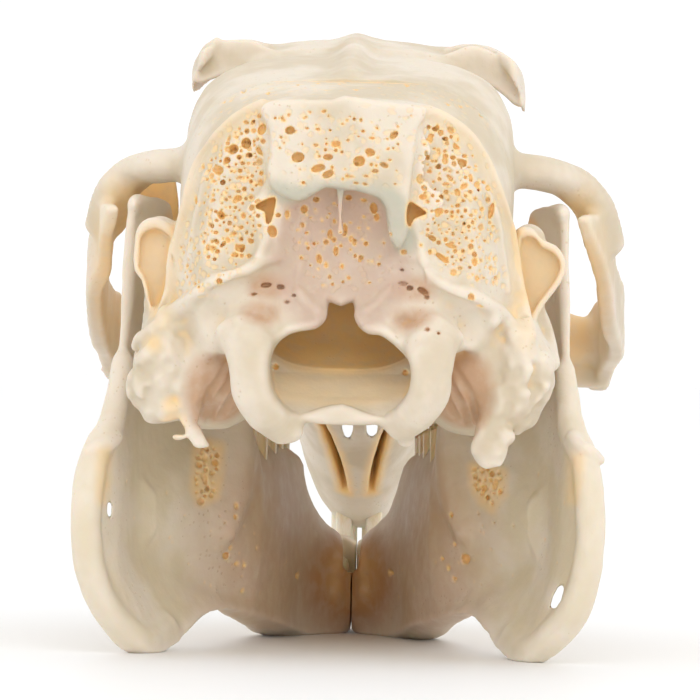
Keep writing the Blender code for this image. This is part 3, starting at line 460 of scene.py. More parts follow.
# Cranium: braincase, face, cheek arches, ear capsules, palate and snout, grown together.
cranium = {
    "rearStep": 0.11,
    "frontStep": 0.18,
    "split": 12,       # u where the fine rear block and the front block meet
    "overlap": 0.25,
    "faces": 195000,
    "braincase": (
        (2.6, 10.6, 8.6, 21, 40.8, 2.6),
        (6, 12.4, 10.6, 19.6, 42.3, 2.7),
        (11, 12.6, 12.4, 19.2, 43.6, 3),
        (17, 12, 13.1, 20, 44.8, 3.8),
        (22, 10.4, 12.9, 22, 45.8, 4.2),
        (26.5, 7.4, 10.8, 24.6, 46.6, 3.2),
        (30, 4.6, 9, 28, 47.4, 2.6),
        (33, 2.6, 8.6, 33, 47.6, 2.4),
    ),
    "snout": (
        (27, 7.2, 9, 42.5, 46.9, 2.8),
        (34, 6.4, 9.2, 41.5, 48, 3.2),
        (39, 7, 9.2, 36, 47, 3),
        (43, 7.4, 9.2, 24.5, 45.2, 2.8),
        (47, 7.2, 9, 18.2, 42.6, 2.7),
        (52, 6.4, 8.5, 16, 39.4, 2.6),
        (58, 5.4, 7.8, 13, 34.8, 2.5),
        (64, 4.7, 7, 9.7, 29.5, 2.4),
        (68, 4.2, 6.3, 8.3, 26, 2.3),
        (70.2, 3.4, 5.4, 8.6, 24.2, 2.2),
    ),
    "nasalTip": (
        (64, 4.6, 5.4, 26, 29.3, 2.6),
        (69, 4.4, 5.2, 22.9, 25.4, 2.6),
        (71.6, 3.6, 4.2, 21.7, 23.5, 2.4),
        (72.9, 2.2, 2.6, 21.5, 22.7, 2.2),
    ),
    "base": (
        (3, 3.8, 3.4, 18.4, 20.4, 2.4),
        (8, 3.6, 4.8, 18, 21, 2.4),
        (14, 3, 4.4, 18.8, 23, 2.4),
        (22, 2, 3, 21.6, 26.4, 2.4),
        (32, 1.4, 2, 25.6, 31, 2.4),
    ),
    "septum": (
        (29, 1.3, 1.6, 27, 43, 3),
        (36, 1.1, 1.6, 28.5, 43, 3),
        (43.5, 1.6, 2.2, 26, 43, 3),
    ),
    "palate": (
        (39, 7, 7, 20, 22, 3),
        (45.5, 6.4, 6.4, 18.6, 21, 3),
    ),
    # u, x in, x out, z low, z high of the block that holds the cheek teeth
    "toothBlock": (
        (28.4, 6.6, 10.6, 19.4, 23.2),
        (32, 5.9, 11.2, 19, 27),
        (38, 5.6, 11.6, 18.7, 28.5),
        (43, 5.2, 11.2, 18.3, 29.5),
        (47, 4.4, 9.6, 17.6, 30),
    ),
    "brainHollow": (
        (4.4, 4.8, 5, 20.3, 25.6, 3),
        (6.4, 6, 6.6, 21.7, 31, 3),
        (8.6, 6.4, 7.6, 22.7, 34.6, 2.8),
        (10.6, 4.8, 6, 24.6, 33.4, 2.4),
        (11.5, 1, 1.4, 28, 31, 2),
    ),
    "nasalHollow": (
        (49.5, 2.9, 3.6, 22, 34.4, 2.6),
        (58, 3.1, 4.4, 18.6, 31, 2.6),
        (66, 3.3, 4.6, 16.5, 25.6, 2.6),
        (75, 3.2, 4.4, 14, 21.4, 2.6),
    ),
    # u, x and half width of the long slits in the roof of the mouth
    "incisiveSlit": ((47.2, 2.9, 0.1), (50, 2.7, 0.22), (57, 1.6, 0.32), (61, 1.1, 0.22)),
    # photo pixels of the edge of the foramen magnum
    "foramen": (
        (328, 301), (340, 306), (353, 301), (353, 315), (358, 326), (368, 334), (379, 335), (389, 341),
        (398, 349), (408, 360), (411, 372), (410, 385), (404, 399), (384, 415), (362, 411), (342, 404),
        (320, 408), (300, 413), (284, 405), (273, 390), (270, 372), (271, 357), (277, 344), (288, 335),
        (301, 331), (315, 329), (325, 321), (328, 311),
    ),
    # u of its edge and of its end, z of its floor and how steeply the floor rises
    "foramenFloor": (2.5, 6, 18.3, 0.95),
    # photo pixels and depth along each condyle, and its radii
    "condyle": {
        1: (
            (414, 310, 4.9), (430, 332, 3.5), (429, 350, 2.1), (427, 372, 1.4), (425, 392, 1.5), (416, 409, 2.1),
            (402, 423, 3.2),
        ),
        -1: (
            (268, 306, 4.9), (247, 332, 3.5), (251, 350, 2.1), (254, 372, 1.4), (256, 392, 1.5), (265, 410, 2.1),
            (281, 427, 3.2),
        ),
    },
    "condyleRadii": (1.2, 1.5, 1.65, 1.6, 1.6, 1.45, 1.1),
    # beside each condyle the plate ends in a notch through which the capsule shows
    "notch": {
        -1: ((203, 445), (201, 400), (200, 374), (207, 360), (219, 353), (230, 354), (236, 364), (240, 385),
             (247, 402), (258, 420), (262, 445)),
        1: ((430, 445), (428, 424), (437, 408), (443, 388), (445, 368), (452, 355), (464, 351), (476, 356),
            (483, 370), (483, 390), (481, 425), (479, 445)),
    },
    # grooves down each capsule, as photo pixels
    "grooves": {
        -1: (((228, 360), (219, 378), (209, 396), (204, 420)), ((234, 366), (227, 386), (216, 404), (208, 424)),
             ((239, 384), (230, 402), (219, 419))),
        1: (((452, 362), (462, 380), (471, 398), (477, 420)), ((446, 372), (454, 390), (463, 408), (470, 426)),
            ((443, 390), (450, 406), (459, 420))),
    },
    # photo pixels of the rim of each ear opening, and of the wall behind the jaw joint
    "ear": {
        -1: ((135, 246), (137, 230), (144, 221), (157, 217), (170, 223), (178, 232), (177, 262), (172, 290),
             (163, 318), (152, 322), (148, 304), (142, 280), (135, 270)),
        1: ((517, 229), (530, 227), (538, 234), (543, 240), (556, 246), (564, 256), (566, 268), (560, 284),
            (549, 298), (539, 312), (528, 332), (518, 320), (514, 290), (514, 255)),
    },
    "jointWall": {
        -1: ((122, 188), (134, 178), (150, 172), (174, 172), (176, 242), (150, 240), (134, 234), (126, 210)),
        1: ((514, 186), (530, 190), (556, 192), (569, 205), (562, 220), (549, 236), (530, 240), (512, 242)),
    },
    "browWall": {
        -1: ((280, 53), (265, 46), (255, 41), (240, 39), (222, 39), (217, 36), (210, 41), (203, 46), (201, 57),
             (204, 64), (197, 70), (194, 77), (200, 83), (214, 78), (232, 72), (255, 68), (280, 66)),
        1: ((438, 58), (455, 50), (470, 45), (485, 48), (497, 56), (503, 63), (505, 70), (512, 76), (516, 86),
            (520, 91), (515, 93), (522, 99), (521, 107), (513, 105), (503, 96), (488, 86), (468, 76), (440, 70)),
    },
    "cheekSpike": {
        -1: ((146, 380), (122, 378), (104, 372), (100, 368), (113, 364), (106, 352), (120, 344), (146, 350)),
        1: ((556, 384), (558, 362), (576, 356), (598, 356), (591, 368), (608, 378), (600, 387), (580, 388)),
    },
    # where light shows along the snout, photo pixels
    "gaps": (
        ((342, 413), (347, 411), (353, 414), (353, 430), (350, 438), (345, 437), (342, 428)),
        ((366, 422), (372, 420), (378, 424), (377, 433), (372, 437), (367, 434)),
    ),
    "roofCrest": ((0, 14, 43.9), (0, 24, 46.3), (0, 32, 47.3), (0, 38, 47.3)),
    # hollows over the foramen magnum: place, half sizes and blend
    "recess": ((0, 2.3, 31.2, 4.6, 1.9, 4.6, 0.5), (0, 2.2, 27.6, 6.2, 1, 2.2, 0.6)),
    # unevenness: patch size, height, and height where the bone is rough
    "roughness": ((2.6, 0.06, 0.16), (1.2, 0.05, 0.2), (0.55, 0.02, 0.13)),
    # painted light and shade: the inside of the braincase and the floor of the way in lit warm, as if light came
    # through the thin walls, and painted shade on the inner faces of the cheek arches, in the recess under the
    # raised plate and just under its edge; place, half sizes, colour, strength and softness
    "tintLumps": (
        (0, 10, 27.6, 8.4, 4.4, 7.4, "amber", 1, 1.6), (0, 5, 20.6, 5.4, 2, 1.6, "amber", 0.3, 0.8),
        (17, 33, 29, 2.4, 17, 9, "amber", 0.6, 1.5), (17.4, 33, 28, 2.2, 15, 7, "brown", 0.35, 1.5),
        (0, 2.6, 30, 4.8, 2, 5.2, "rose", 0.75, 1.2), (0, 2.8, 33.6, 3.8, 1.6, 1.6, "brown", 0.35, 1.2),
    ),
    "suture": ((-14, 10.6, 30), (14, 13.4, 47)),    # corners of the wavy seam's box
    # photo pixels and depth down each paroccipital process, and its radii
    "paroccipital": {
        1: ((494, 335, 7.6), (495, 372, 7.2), (495, 410, 6.7), (490, 438, 6.4), (489, 454, 6.3)),
        -1: ((184, 330, 7.6), (188, 368, 7.2), (187, 400, 6.8), (190, 425, 6.5), (194, 437, 6.4)),
    },
    "paroccipitalRadii": {1: (1.4, 1.1, 0.95, 0.9, 1), -1: (1.4, 1.05, 0.85, 0.65, 0.6)},
    "bulla": (9.9, 12.4, 21.7, 4.5, 6.7, 4.6),
    "mastoid": (13.1, 9.4, 22, 2.3, 4.2, 4.3),
    "earTube": ((12.4, 13, 24), (13.3, 12.4, 28.4), (13.9, 11.6, 32)),
    "archOutline": (
        (16.6, 33.9), (19.5, 34.2), (22.6, 34.4), (26, 32.9), (31, 30.9), (37, 29.2), (42.5, 28),
        (46, 27.6), (48.6, 24.6), (48.6, 21.2), (46.6, 20.6), (43.6, 22.2), (38, 23.4), (32, 25.2),
        (26.6, 27.7), (21.6, 30.6), (17.6, 32.7),
    ),
    "archLean": 0.03,
    "archThickness": (1.05, 0.25),
    "archBow": {
        -1: ((16, 18), (20, 18.8), (24, 19.1), (28, 20.1), (38, 20.3), (44, 20.1), (49, 19.2)),
        1: ((16, 17.9), (20, 18.9), (25, 19.8), (31, 20.3), (38, 21), (44, 20.3), (49, 19.2)),
    },
    "archRoot": {
        -1: ((-11.6, 18, 37.3), (-14.2, 19, 37.2), (-16.4, 21, 36.8), (-18.2, 22.6, 35.2), (-19.1, 24.6, 32.8)),
        1: ((11.6, 18, 37.5), (14.8, 19, 37.2), (17, 21, 36.6), (18.8, 22.6, 34.8), (19.7, 24.6, 32.2)),
    },
    "cheekRoot": ((9.6, 44, 25.6), (13.6, 45, 25.2), (17.4, 46, 24.6), (19.4, 46.4, 24.2)),
    "brow": {
        1: (
            (6.6, 30), (6.8, 42), (9.6, 44.6), (11.8, 43.4), (12.8, 39.4), (13.3, 34), (13.3, 28.4),
            (12.6, 25.6), (11.4, 26.8), (10.6, 30.2), (9, 31.6),
        ),
        -1: (
            (-6.6, 29.6), (-6.8, 42), (-9.6, 44.6), (-11.8, 43), (-12.8, 39), (-13, 34), (-12.8, 28.8),
            (-12, 26), (-11, 27), (-10.2, 30.4), (-9, 31),
        ),
    },
    "browSection": ((6, 46.6), (8.2, 47.4), (10.2, 47.3), (11.8, 46.4), (12.8, 45), (13.6, 43)),
    "pterygoid": (
        (22.5, 23.6), (27, 27), (33, 28.6), (38, 25.4), (37, 21.6), (32, 20.6), (26, 20.2),
        (23.4, 20.8),
    ),
    "nuchal": (
        (-6.3, 41.3), (-4.4, 41.8), (0.1, 41.9), (4.8, 41.6), (6.8, 41.2), (8.7, 39.8), (10.2, 38),
        (11.6, 34.6), (12.7, 31), (13.6, 27.4), (14.4, 25), (15.3, 22.6), (15.2, 20.2), (13.4, 18.2),
        (9.4, 19.6), (7.2, 20), (4.6, 18.2), (-4.4, 18.2), (-6.8, 20), (-9.2, 19.6), (-13.2, 17.8),
        (-15.2, 19.8), (-15.3, 22.4), (-14.2, 24.8), (-13.2, 27.4), (-12.5, 31), (-11.5, 34.6),
        (-9.8, 38.4), (-8.3, 40),
    ),
    "shield": (2.1, 0.02, 1.9),    # u at the middle, bend and thickness of the raised plate
    # photo pixels of the raised plate's edge, from its top left
    "shieldEdge": (
        (264, 104), (278, 100), (300, 99), (332, 99), (345, 95), (370, 99), (397, 103), (413, 104), (427, 108),
        (424, 119), (418, 128), (416, 140), (414, 156), (412, 175), (410, 193), (408, 212), (408, 230),
        (403, 244), (398, 249), (392, 243), (388, 234), (387, 220), (386, 208), (379, 198), (368, 194),
        (356, 191), (344, 190), (327, 187), (314, 195), (301, 202), (288, 199), (279, 194), (273, 188),
        (269, 178), (268, 167), (270, 155), (271, 143), (270, 132), (266, 120), (261, 112),
    ),
}


# Relief of the back of the skull, by photo pixels: what stands out, what is hollow, and its many holes.
back = {
    # a ridge is its pixels and its radii in mm
    "ridges": (
        (((262, 105), (246, 112), (231, 122), (216, 136), (202, 154), (193, 174), (188, 196), (183, 216),
          (177, 240), (173, 262), (170, 290), (160, 318)), (0.5, 0.42, 0.42, 0.45, 0.5)),
        (((428, 112), (448, 120), (470, 137), (488, 164), (497, 187), (506, 214), (513, 241), (517, 281),
          (522, 303), (528, 340)), (0.5, 0.42, 0.42, 0.45, 0.55)),
        (((206, 176), (203, 192), (199, 210), (195, 232), (190, 256)), (0.28, 0.34, 0.3)),
        (((486, 190), (495, 214), (499, 236), (503, 262), (506, 290)), (0.28, 0.34, 0.3)),
        (((268, 257), (254, 264), (240, 271), (224, 279), (202, 294), (186, 306), (170, 316), (153, 330),
          (137, 346)), (0.4, 0.7, 0.8, 0.75, 0.6)),
        (((420, 268), (434, 279), (448, 288), (462, 294), (477, 301), (490, 309), (504, 320), (516, 340),
          (527, 368)), (0.4, 0.6, 0.75, 0.7, 0.55)),
        (((268, 222), (266, 238), (259, 256)), (0.3, 0.34, 0.4)),
        (((413, 222), (419, 240), (424, 262)), (0.3, 0.34, 0.4)),
        (((300, 262), (296, 280), (300, 296), (316, 312)), (0.25, 0.4, 0.5)),
        (((386, 262), (392, 280), (384, 298), (368, 312)), (0.25, 0.4, 0.5)),
        (((305, 206), (303, 222), (306, 240)), (0.22, 0.3, 0.2)),
        (((539, 312), (546, 334), (550, 362)), (0.5, 0.6, 0.7)),
        (((316, 326), (302, 330), (289, 332), (277, 342), (269, 356)), (0.45, 0.6, 0.6, 0.5, 0.4)),
        (((364, 330), (378, 331), (391, 338), (402, 348), (412, 362)), (0.45, 0.6, 0.6, 0.5, 0.4)),
    ),
    # a lump is its pixel, how deep its middle lies, and its half sizes in mm
    "lumps": (
        (150, 358, 6.9, 1.2, 1.6, 1.1), (153, 402, 7.9, 1.2, 1.6, 1.4), (166, 408, 7.2, 0.8, 1, 0.9),
        (143, 384, 7.9, 1.1, 2, 1.6), (171, 352, 6.6, 1, 1.2, 0.9), (524, 344, 7, 0.9, 1.6, 1.4),
        (538, 384, 8, 1.2, 1.9, 1.6), (541, 362, 7.6, 0.9, 1.4, 1.2), (516, 398, 7.8, 1.1, 1.6, 1.5),
        (490, 322, 5.2, 0.6, 0.9, 0.5), (505, 438, 6.5, 0.5, 0.7, 0.45), (178, 437, 6.4, 0.65, 0.6, 0.4),
        (201, 445, 6.4, 0.6, 0.5, 0.26), (482, 448, 6.3, 0.5, 0.6, 0.5),
        (406, 441, 4.2, 0.5, 0.5, 0.4), (296, 432, 3.4, 0.4, 0.6, 0.4), (238, 336, 3.2, 0.9, 1, 0.8),
        (440, 338, 3.2, 0.9, 1, 0.8),
    ),
    # a hollow is its pixel and its half sizes in mm, across, deep and up
    "hollows": (
        (232, 168, 2.4, 0.5, 3), (453, 162, 2.6, 0.5, 3.2), (222, 236, 2.4, 0.5, 2.4),
        (466, 236, 2.4, 0.5, 2.6), (248, 293, 1.9, 0.8, 1.1), (226, 304, 2, 0.9, 1.3), (206, 318, 1.8, 0.8, 1.3),
        (438, 306, 1.8, 0.8, 1.1), (458, 316, 2, 0.9, 1.3), (476, 328, 1.6, 0.8, 1.2),
        (259, 314, 1, 0.7, 0.5), (414, 321, 1.2, 0.8, 0.5), (536, 385, 0.8, 0.4, 1.2),
        (283, 276, 1.6, 0.45, 0.9), (402, 274, 1.6, 0.45, 0.9),
    ),
    # a hole is its pixel, its width and height in pixels and its turn in degrees
    "shieldHoles": (
        (290, 130, 10, 8, 10), (298, 157, 13, 10, 5), (328, 157, 10, 6, 0), (318, 168, 14, 7, 18),
        (328, 174, 12, 7, 25), (336, 144, 9, 5.5, 15), (316, 145, 5, 3, 0), (318, 129, 5, 3, 0),
        (324, 111, 5, 3, 20), (282, 118, 3, 4, 0), (275, 118, 3, 3, 0), (370, 152, 10, 7, -20),
        (359, 161, 12, 10, 20), (384, 165, 9, 4.5, -20), (375, 171, 7, 4, 0), (366, 176, 6, 2.5, -10),
        (356, 183, 5, 2.5, 0), (365, 184, 5, 3, -10), (351, 176.5, 6, 2.5, 0), (372, 138, 6, 2.7, 0),
        (394, 135, 10, 6, 45), (398, 144, 3, 3, 0), (390, 160, 3.5, 2.2, 0), (363, 131, 4, 3, 0),
        (348, 140, 3, 3, 0), (354, 119, 3, 4, 0), (361, 120, 3, 4, 0), (347, 120, 3, 2.5, 0),
        (395, 184, 2.5, 2.5, 0), (307, 128, 4, 2.5, 0), (388, 149, 4, 2.5, 30), (330, 130, 3.5, 2.5, 0),
        (342, 152, 3, 4, 0), (304, 118, 3, 2.2, 0), (377, 128, 4, 2.5, -20), (310, 112, 4, 2, 0),
    ),
    "sideHoles": (
        (246, 143, 10, 11, 0), (233, 149, 11, 10, 20), (227, 160, 7, 7, 0), (218.5, 170, 10, 9, 0),
        (247, 131, 5, 5.5, 0), (262, 129, 8, 12, -20), (263, 141, 5, 5, 0), (260, 152, 5, 4, 0),
        (249, 155, 7, 5, 0), (239, 157, 5, 5, 0), (240, 177, 5, 3, 0), (256, 185, 3, 3, 0),
        (238, 198, 8, 6, 0), (213, 200, 5, 3, 0), (213, 181, 7, 3, 0), (255, 163, 3, 4, 0),
        (221, 215, 7, 9, 30), (272, 231, 9, 12, 20), (251, 241, 6, 5, 0), (213, 248, 6, 5, 0),
        (240, 248, 10, 7, 10), (235, 255, 8, 4, 10), (249, 256, 5, 4, 0), (228, 241, 4, 3, 0),
        (221, 246, 3, 3, 0), (231, 171, 3, 2.5, 0), (224, 182, 3, 3, 0), (237, 137, 3.5, 3, 0),
        (203, 166, 3, 6, 20), (229, 139, 3, 4, 0), (254, 141, 3, 4, 0), (253, 122, 4, 6, -20),
        (420, 179, 7, 9, 0), (425.5, 189, 3, 3, 0), (423, 197, 8, 5, 0), (439, 211, 9, 6, 0),
        (445.5, 156, 5.5, 4.5, 0), (445.5, 139, 5, 4.5, 0), (455.5, 147, 5, 5, 0), (453, 157.5, 5, 4.5, 0),
        (462, 163, 9, 7, -30), (464, 156, 4.5, 3.5, 0), (432, 161, 3, 2.5, 0), (429, 171.5, 5, 3, 0),
        (437, 167, 5, 3, 0), (464, 186, 6, 4.5, 0), (457, 191, 5, 4, 0), (479, 189, 4, 3, 0),
        (474.5, 170, 2.5, 2, 0), (444, 197, 10, 5, -10), (432, 238, 9, 5, -30), (451, 246, 12, 4, -15),
        (430, 252, 4, 5, 0), (442, 258, 16, 5, -35), (474.5, 262, 5, 8, 0), (471, 297, 6, 7, 30),
        (480, 306, 5, 3, -10), (421, 245, 3, 3, 0), (448, 176, 4, 3, 0), (438, 150, 4, 3, 0),
        (470, 176, 4, 3.5, 0), (449, 129, 4, 5, 0), (437, 128, 4, 7, -10), (430, 138, 4, 9, 5),
        (426, 153, 3, 5, 0), (452, 212, 4, 3, 0), (464, 224, 4, 3, 0), (447, 184, 4, 3, 0),
        (491, 211, 5, 17, -12), (196, 200, 3, 9, 12), (219, 281, 6, 6, 0), (243, 214, 4, 3, 0),
    ),
    "recessHoles": (
        (344.5, 230, 5, 12, 0), (330, 234, 4.5, 9, 0), (326, 242, 5, 5, 0), (334, 239.5, 4, 5, 0),
        (336, 251, 4.5, 9, 0), (341, 245.5, 3, 3, 0), (351, 239, 3.5, 6, 0), (354.5, 243, 3.5, 5, 0),
        (366, 243.5, 4.5, 4.5, 0), (314, 243.5, 3.5, 3.5, 0), (334.5, 221, 3, 4, 0), (304, 209, 6.5, 8, 0),
        (316, 199, 6, 5, 0), (348.5, 197, 6, 5, 0), (364, 200, 5, 3, 0), (374, 208, 7, 11, 10),
        (377, 217, 5, 7, 0), (391, 234, 3, 3, 0), (404, 252, 6, 4.5, 0), (361, 257.5, 5, 4.5, 0),
        (342, 266.5, 3, 5, 0), (319, 259, 5, 9, 10), (287, 214, 4.5, 8, 0), (278, 215, 5, 4.5, 0),
        (308, 248, 3, 4, 0), (301, 258, 3, 4, 0), (355, 256, 3, 4, 0), (326, 265, 3, 5, 0), (275.5, 367, 5, 6, 0),
        (405.5, 373, 5, 6, 0),
    ),
    "redHoles": (
        (266, 285, 11, 5, 10), (280.5, 287, 8, 5, 0), (254, 294, 6, 2.5, 10), (294, 295.5, 5, 2.7, 0),
        (287, 302, 5, 3, 10), (403, 283.5, 10, 3.5, -5), (410, 288, 7, 5, 0), (423, 291, 12, 6, -30),
        (427, 297, 4.5, 4, 0), (427.5, 329.5, 4, 4, 0), (438.5, 333.5, 3, 3, 0), (402, 270, 4, 3, 0),
    ),
    # deep corners beside the raised plate: u of the middle and thickness of the cut, and photo pixels
    "corner": (2.6, 4.2),
    "corners": (
        ((255, 206), (262, 201), (275, 197), (275, 206), (271, 222), (266, 223), (265, 212), (258, 209)),
        ((410, 202), (416, 205), (426, 212), (424, 215), (414, 219), (410, 227), (407, 222), (407, 210)),
    ),
    # where smaller pores are scattered: pixel outline, how many, least and most width in pixels, share of lace
    "porousFields": (
        (((262, 112), (240, 122), (214, 148), (202, 176), (200, 250), (236, 262), (262, 230), (262, 200),
          (266, 160)), 150, 2.4, 6, 1),
        (((428, 118), (452, 128), (480, 160), (494, 200), (500, 286), (450, 276), (424, 234), (420, 200),
          (420, 150)), 160, 2.4, 6, 1),
        (((276, 112), (420, 112), (406, 150), (396, 182), (300, 186), (276, 150)), 50, 2, 4, 0.6),
        (((310, 196), (380, 202), (396, 250), (372, 290), (316, 290), (290, 250), (296, 208)), 40, 1.8, 4, 0.5),
        (((196, 208), (256, 250), (214, 288), (180, 300), (178, 240)), 40, 2, 4.4, 0.9),
        (((214, 62), (300, 50), (400, 50), (480, 70), (500, 130), (430, 100), (345, 90), (260, 98), (190, 140)),
         70, 1.8, 4.4, 0.35),
    ),
    # rough patches and small amber spots between the lumps, by photo pixel: depth, half sizes, colour, strength
    # and softness
    "tintLumps": (
        (154, 395, 7, 2.2, 3, 3.6, "rough", 1, 1), (189, 432, 7, 1.6, 2, 1.2, "rough", 1, 1),
        (524, 395, 7, 2.2, 3, 3.8, "rough", 1, 1), (492, 448, 7, 1.8, 2, 1.6, "rough", 1, 1),
        (160, 345, 7, 2, 3, 1.6, "rough", 1, 1), (528, 350, 7, 2, 3, 1.6, "rough", 1, 1),
        (174, 424, 6.8, 0.7, 1.6, 0.7, "amber", 0.5, 0.6), (172, 405, 6.8, 0.4, 1.6, 0.4, "amber", 0.5, 0.6),
        (238, 441, 6.8, 0.5, 1.6, 0.5, "amber", 0.5, 0.6), (155, 345, 6.8, 0.5, 1.6, 0.5, "amber", 0.5, 0.6),
    ),
    # lines of painted shade: amber in the creases where each ear opening meets the skull, grey in the shadow
    # under the lower edge of the raised plate; pixels, radii, depth, flattening, colour, strength and softness
    "shadeLines": (
        (((177, 232), (173, 262), (168, 285), (160, 312)), (0.5,), 9, (1, 3, 1), "amber", 0.5, 0.7),
        (((514, 232), (518, 266), (522, 300)), (0.5,), 9, (1, 3, 1), "amber", 0.5, 0.7),
        (((276, 190), (300, 198), (322, 190), (350, 189), (378, 196), (392, 212), (398, 240)),
         (0.5, 0.7, 0.6, 0.6, 0.8, 1.1, 1.2), 1.8, (1, 1, 1), "grey", 0.9, 0.6),
    ),
    "brownPatches": ((218, 392), (462, 392)),
    # painted brown shade in two hollows beside the foramen magnum and round the holes above them: pixel and half
    # width in mm
    "brownSpots": ((260, 314, 0.9), (414, 321, 1.1), (268, 286, 1), (412, 288, 1.2)),
    # the thin needle of bone below the raised plate
    "needle": ((341, 186), (341, 200), (340.5, 215), (341, 232)),
    "pitDepth": 0.095,   # mm of depth for each photo pixel of width
    "seed": 11,
}


def turned(px, py, width, height, angle, x, u, z, deep):
    # an elliptical pit along the line of sight, turned by an angle; pixels become mm at its depth
    scale = (u - camera["eye"][1]) / camera["reach"]
    halfX = width * scale / 2
    halfZ = height * scale / 2
    c = math.cos(math.radians(angle))
    s = math.sin(math.radians(angle))

    def distance(a, b, d):
        across = ((a - x) * c + (d - z) * s) / halfX
        up = (-(a - x) * s + (d - z) * c) / halfZ
        into = (b - u) / deep
        flat = np.sqrt(across ** 2 + up ** 2 + 1e-6)
        size = np.sqrt(flat ** 2 + np.maximum(into, 0.0) ** 4 + np.maximum(-into, 0.0) ** 2 * 0.1)
        return (size - 1.0) * min(halfX, halfZ)

    reach = max(halfX, halfZ)
    return (x - reach, u - 0.6, z - reach), (x + reach, u + deep, z + reach), distance


def drill(block, holes, deep, tint="amber", strength=1.0):
    # pits up to a depth, the narrow ones shallower, each painted warm inside
    pits = []
    for px, py, width, height, angle in holes:
        x, u, z = block.onSurface(px, py)
        reach = min(deep, back["pitDepth"] * min(width, height))
        pits.append(turned(px, py, width, height, angle, x, u, z, reach))
    for pit in pits:
        block.carve(pit, 0.06)
        low, high, distance = pit
        # the warm colour inside each pit is painted shade and painted light, as if through the thin bone
        block.tint(((low[0], low[1] + 0.75, low[2]), high, distance), tint, strength, 0.09)


def scattered(outline, count, least, most, chance, room=0.62):
    # random holes inside a pixel outline, kept apart from each other
    points = np.array(outline, float)
    found = []
    tries = 0
    while len(found) < count and tries < count * 30:
        tries += 1
        px, py = points.min(0) + chance.random(2) * np.ptp(points, axis=0)
        width = least + (most - least) * chance.random() ** 2.2
        if outlineDistance(points, np.array([px]), np.array([py]))[0] > -2.0:
            continue
        if any(math.hypot(px - a, py - b) < (width + w) * room + 1.2 for a, b, w, *_ in found):
            continue
        found.append((px, py, width, width * (0.6 + 0.7 * chance.random()), 60.0 * (chance.random() - 0.5)))
    return found


def cornerForm(pixels):
    outline = [seen(px, py, 3.0) for px, py in pixels]
    u, thickness = back["corner"]
    return plate(1, outline, lambda x, z: u + 0 * x * z, lambda x, z: thickness + 0 * x * z, 0.12, 2)


def shapeBackRelief(block):
    for pixels, radii in back["ridges"]:
        line = [block.onSurface(px, py) for px, py in pixels]
        block.join(tube([(x, u + 0.12, z) for x, u, z in line], radii, steps=4), 0.35)
    for px, py, u, halfX, halfU, halfZ in back["lumps"]:
        x, z = seen(px, py, u)
        block.join(lump(x, u, z, halfX, halfU, halfZ), 0.7)
    for px, py, halfX, deep, halfZ in back["hollows"]:
        x, u, z = block.onSurface(px, py)
        block.carve(lump(x, u, z, halfX, deep, halfZ), 0.8)


def drillBack(block):
    chance = np.random.default_rng(back["seed"])
    for pixels in back["corners"]:
        form = cornerForm(pixels)
        block.carve(form, 0.1)
        # the deep corners are painted amber inside: painted shade
        block.tint(form, "amber", 1.0, 0.15)
    drill(block, back["shieldHoles"], 0.8, "amber", 0.85)
    drill(block, back["sideHoles"], 1.0)
    drill(block, back["recessHoles"], 0.9)
    # the vessel holes are painted red-brown inside: painted shade, partly their own colour
    drill(block, back["redHoles"], 1.0, "brown")
    for outline, count, least, most, _ in back["porousFields"]:
        drill(block, scattered(outline, count, least, most, chance, 0.5), 0.4, "amber", 0.9)


def onCurve(table, values):
    line = smoothLine(table, 6)
    return np.interp(values, line[:, 0], line[:, 1])


def sideLoft(table, side, squareness):
    # a loft off to one side: u, x in, x out, z low and z high of each section
    rows = np.array([
        (u, (outer - inner) / 2, (outer - inner) / 2, low, high, squareness, side * (inner + outer) / 2)
        for u, inner, outer, low, high in table
    ])
    line = smoothLine(rows[:, [0, 6]], 8)
    low, high, straight = loft(rows[:, :6])

    def distance(x, u, z):
        return straight(x - np.interp(u, line[:, 0], line[:, 1]), u, z)

    drift = line[:, 1]
    return (low[0] + drift.min(), low[1], low[2]), (high[0] + drift.max(), high[1], high[2]), distance


def archForm(side):
    bow = cranium["archBow"][side]

    def middle(u, z):
        return side * (onCurve(bow, u) + cranium["archLean"] * (28.0 - z))

    def thickness(u, z):
        thin, more = cranium["archThickness"]
        return thin + more * np.clip((u - 19.0) / 6.0, 0.0, 1.0) + 0 * z

    return plate(0, cranium["archOutline"], middle, thickness, 0.35)


def beside(row, side):
    x, *rest = row
    return lump(side * x, *rest)


def paintLightAndShade(block, rows, sides):
    # painted light and shade on the midline or on the given sides: place, half sizes, colour, strength and
    # softness
    for *row, name, strength, soft in rows:
        for side in sides if row[0] else (1,):
            block.tint(beside(row, side), name, strength, soft)


def browForm(side):
    def middle(x, u):
        return onCurve(cranium["browSection"], np.abs(x)) - 0.035 * np.abs(u - 36.0)

    return plate(2, cranium["brow"][side], middle, lambda x, u: 1.0 + 0 * x * u, 0.35)


def pterygoidForm(side):
    def middle(u, z):
        return side * (3.9 + 0.06 * (u - 28.0)) + 0 * z

    return plate(0, cranium["pterygoid"], middle, lambda u, z: 0.95 + 0 * u * z, 0.3)


def nuchalForm():
    def middle(x, z):
        dip = 0.54 * np.maximum(0.0, 1.0 - ((z - 28.0) / 7.0) ** 2)
        return 3.6 + dip + 0.030 * x ** 2

    return plate(1, cranium["nuchal"], middle, lambda x, z: 2.2 + 0 * x * z, 0.5)


def shieldForm():
    outline = [seen(px, py, 2.2) for px, py in cranium["shieldEdge"]]
    u, bend, thickness = cranium["shield"]
    return plate(1, outline, lambda x, z: u + bend * x ** 2 + 0 * z, lambda x, z: thickness + 0 * x * z, 0.45, 2)


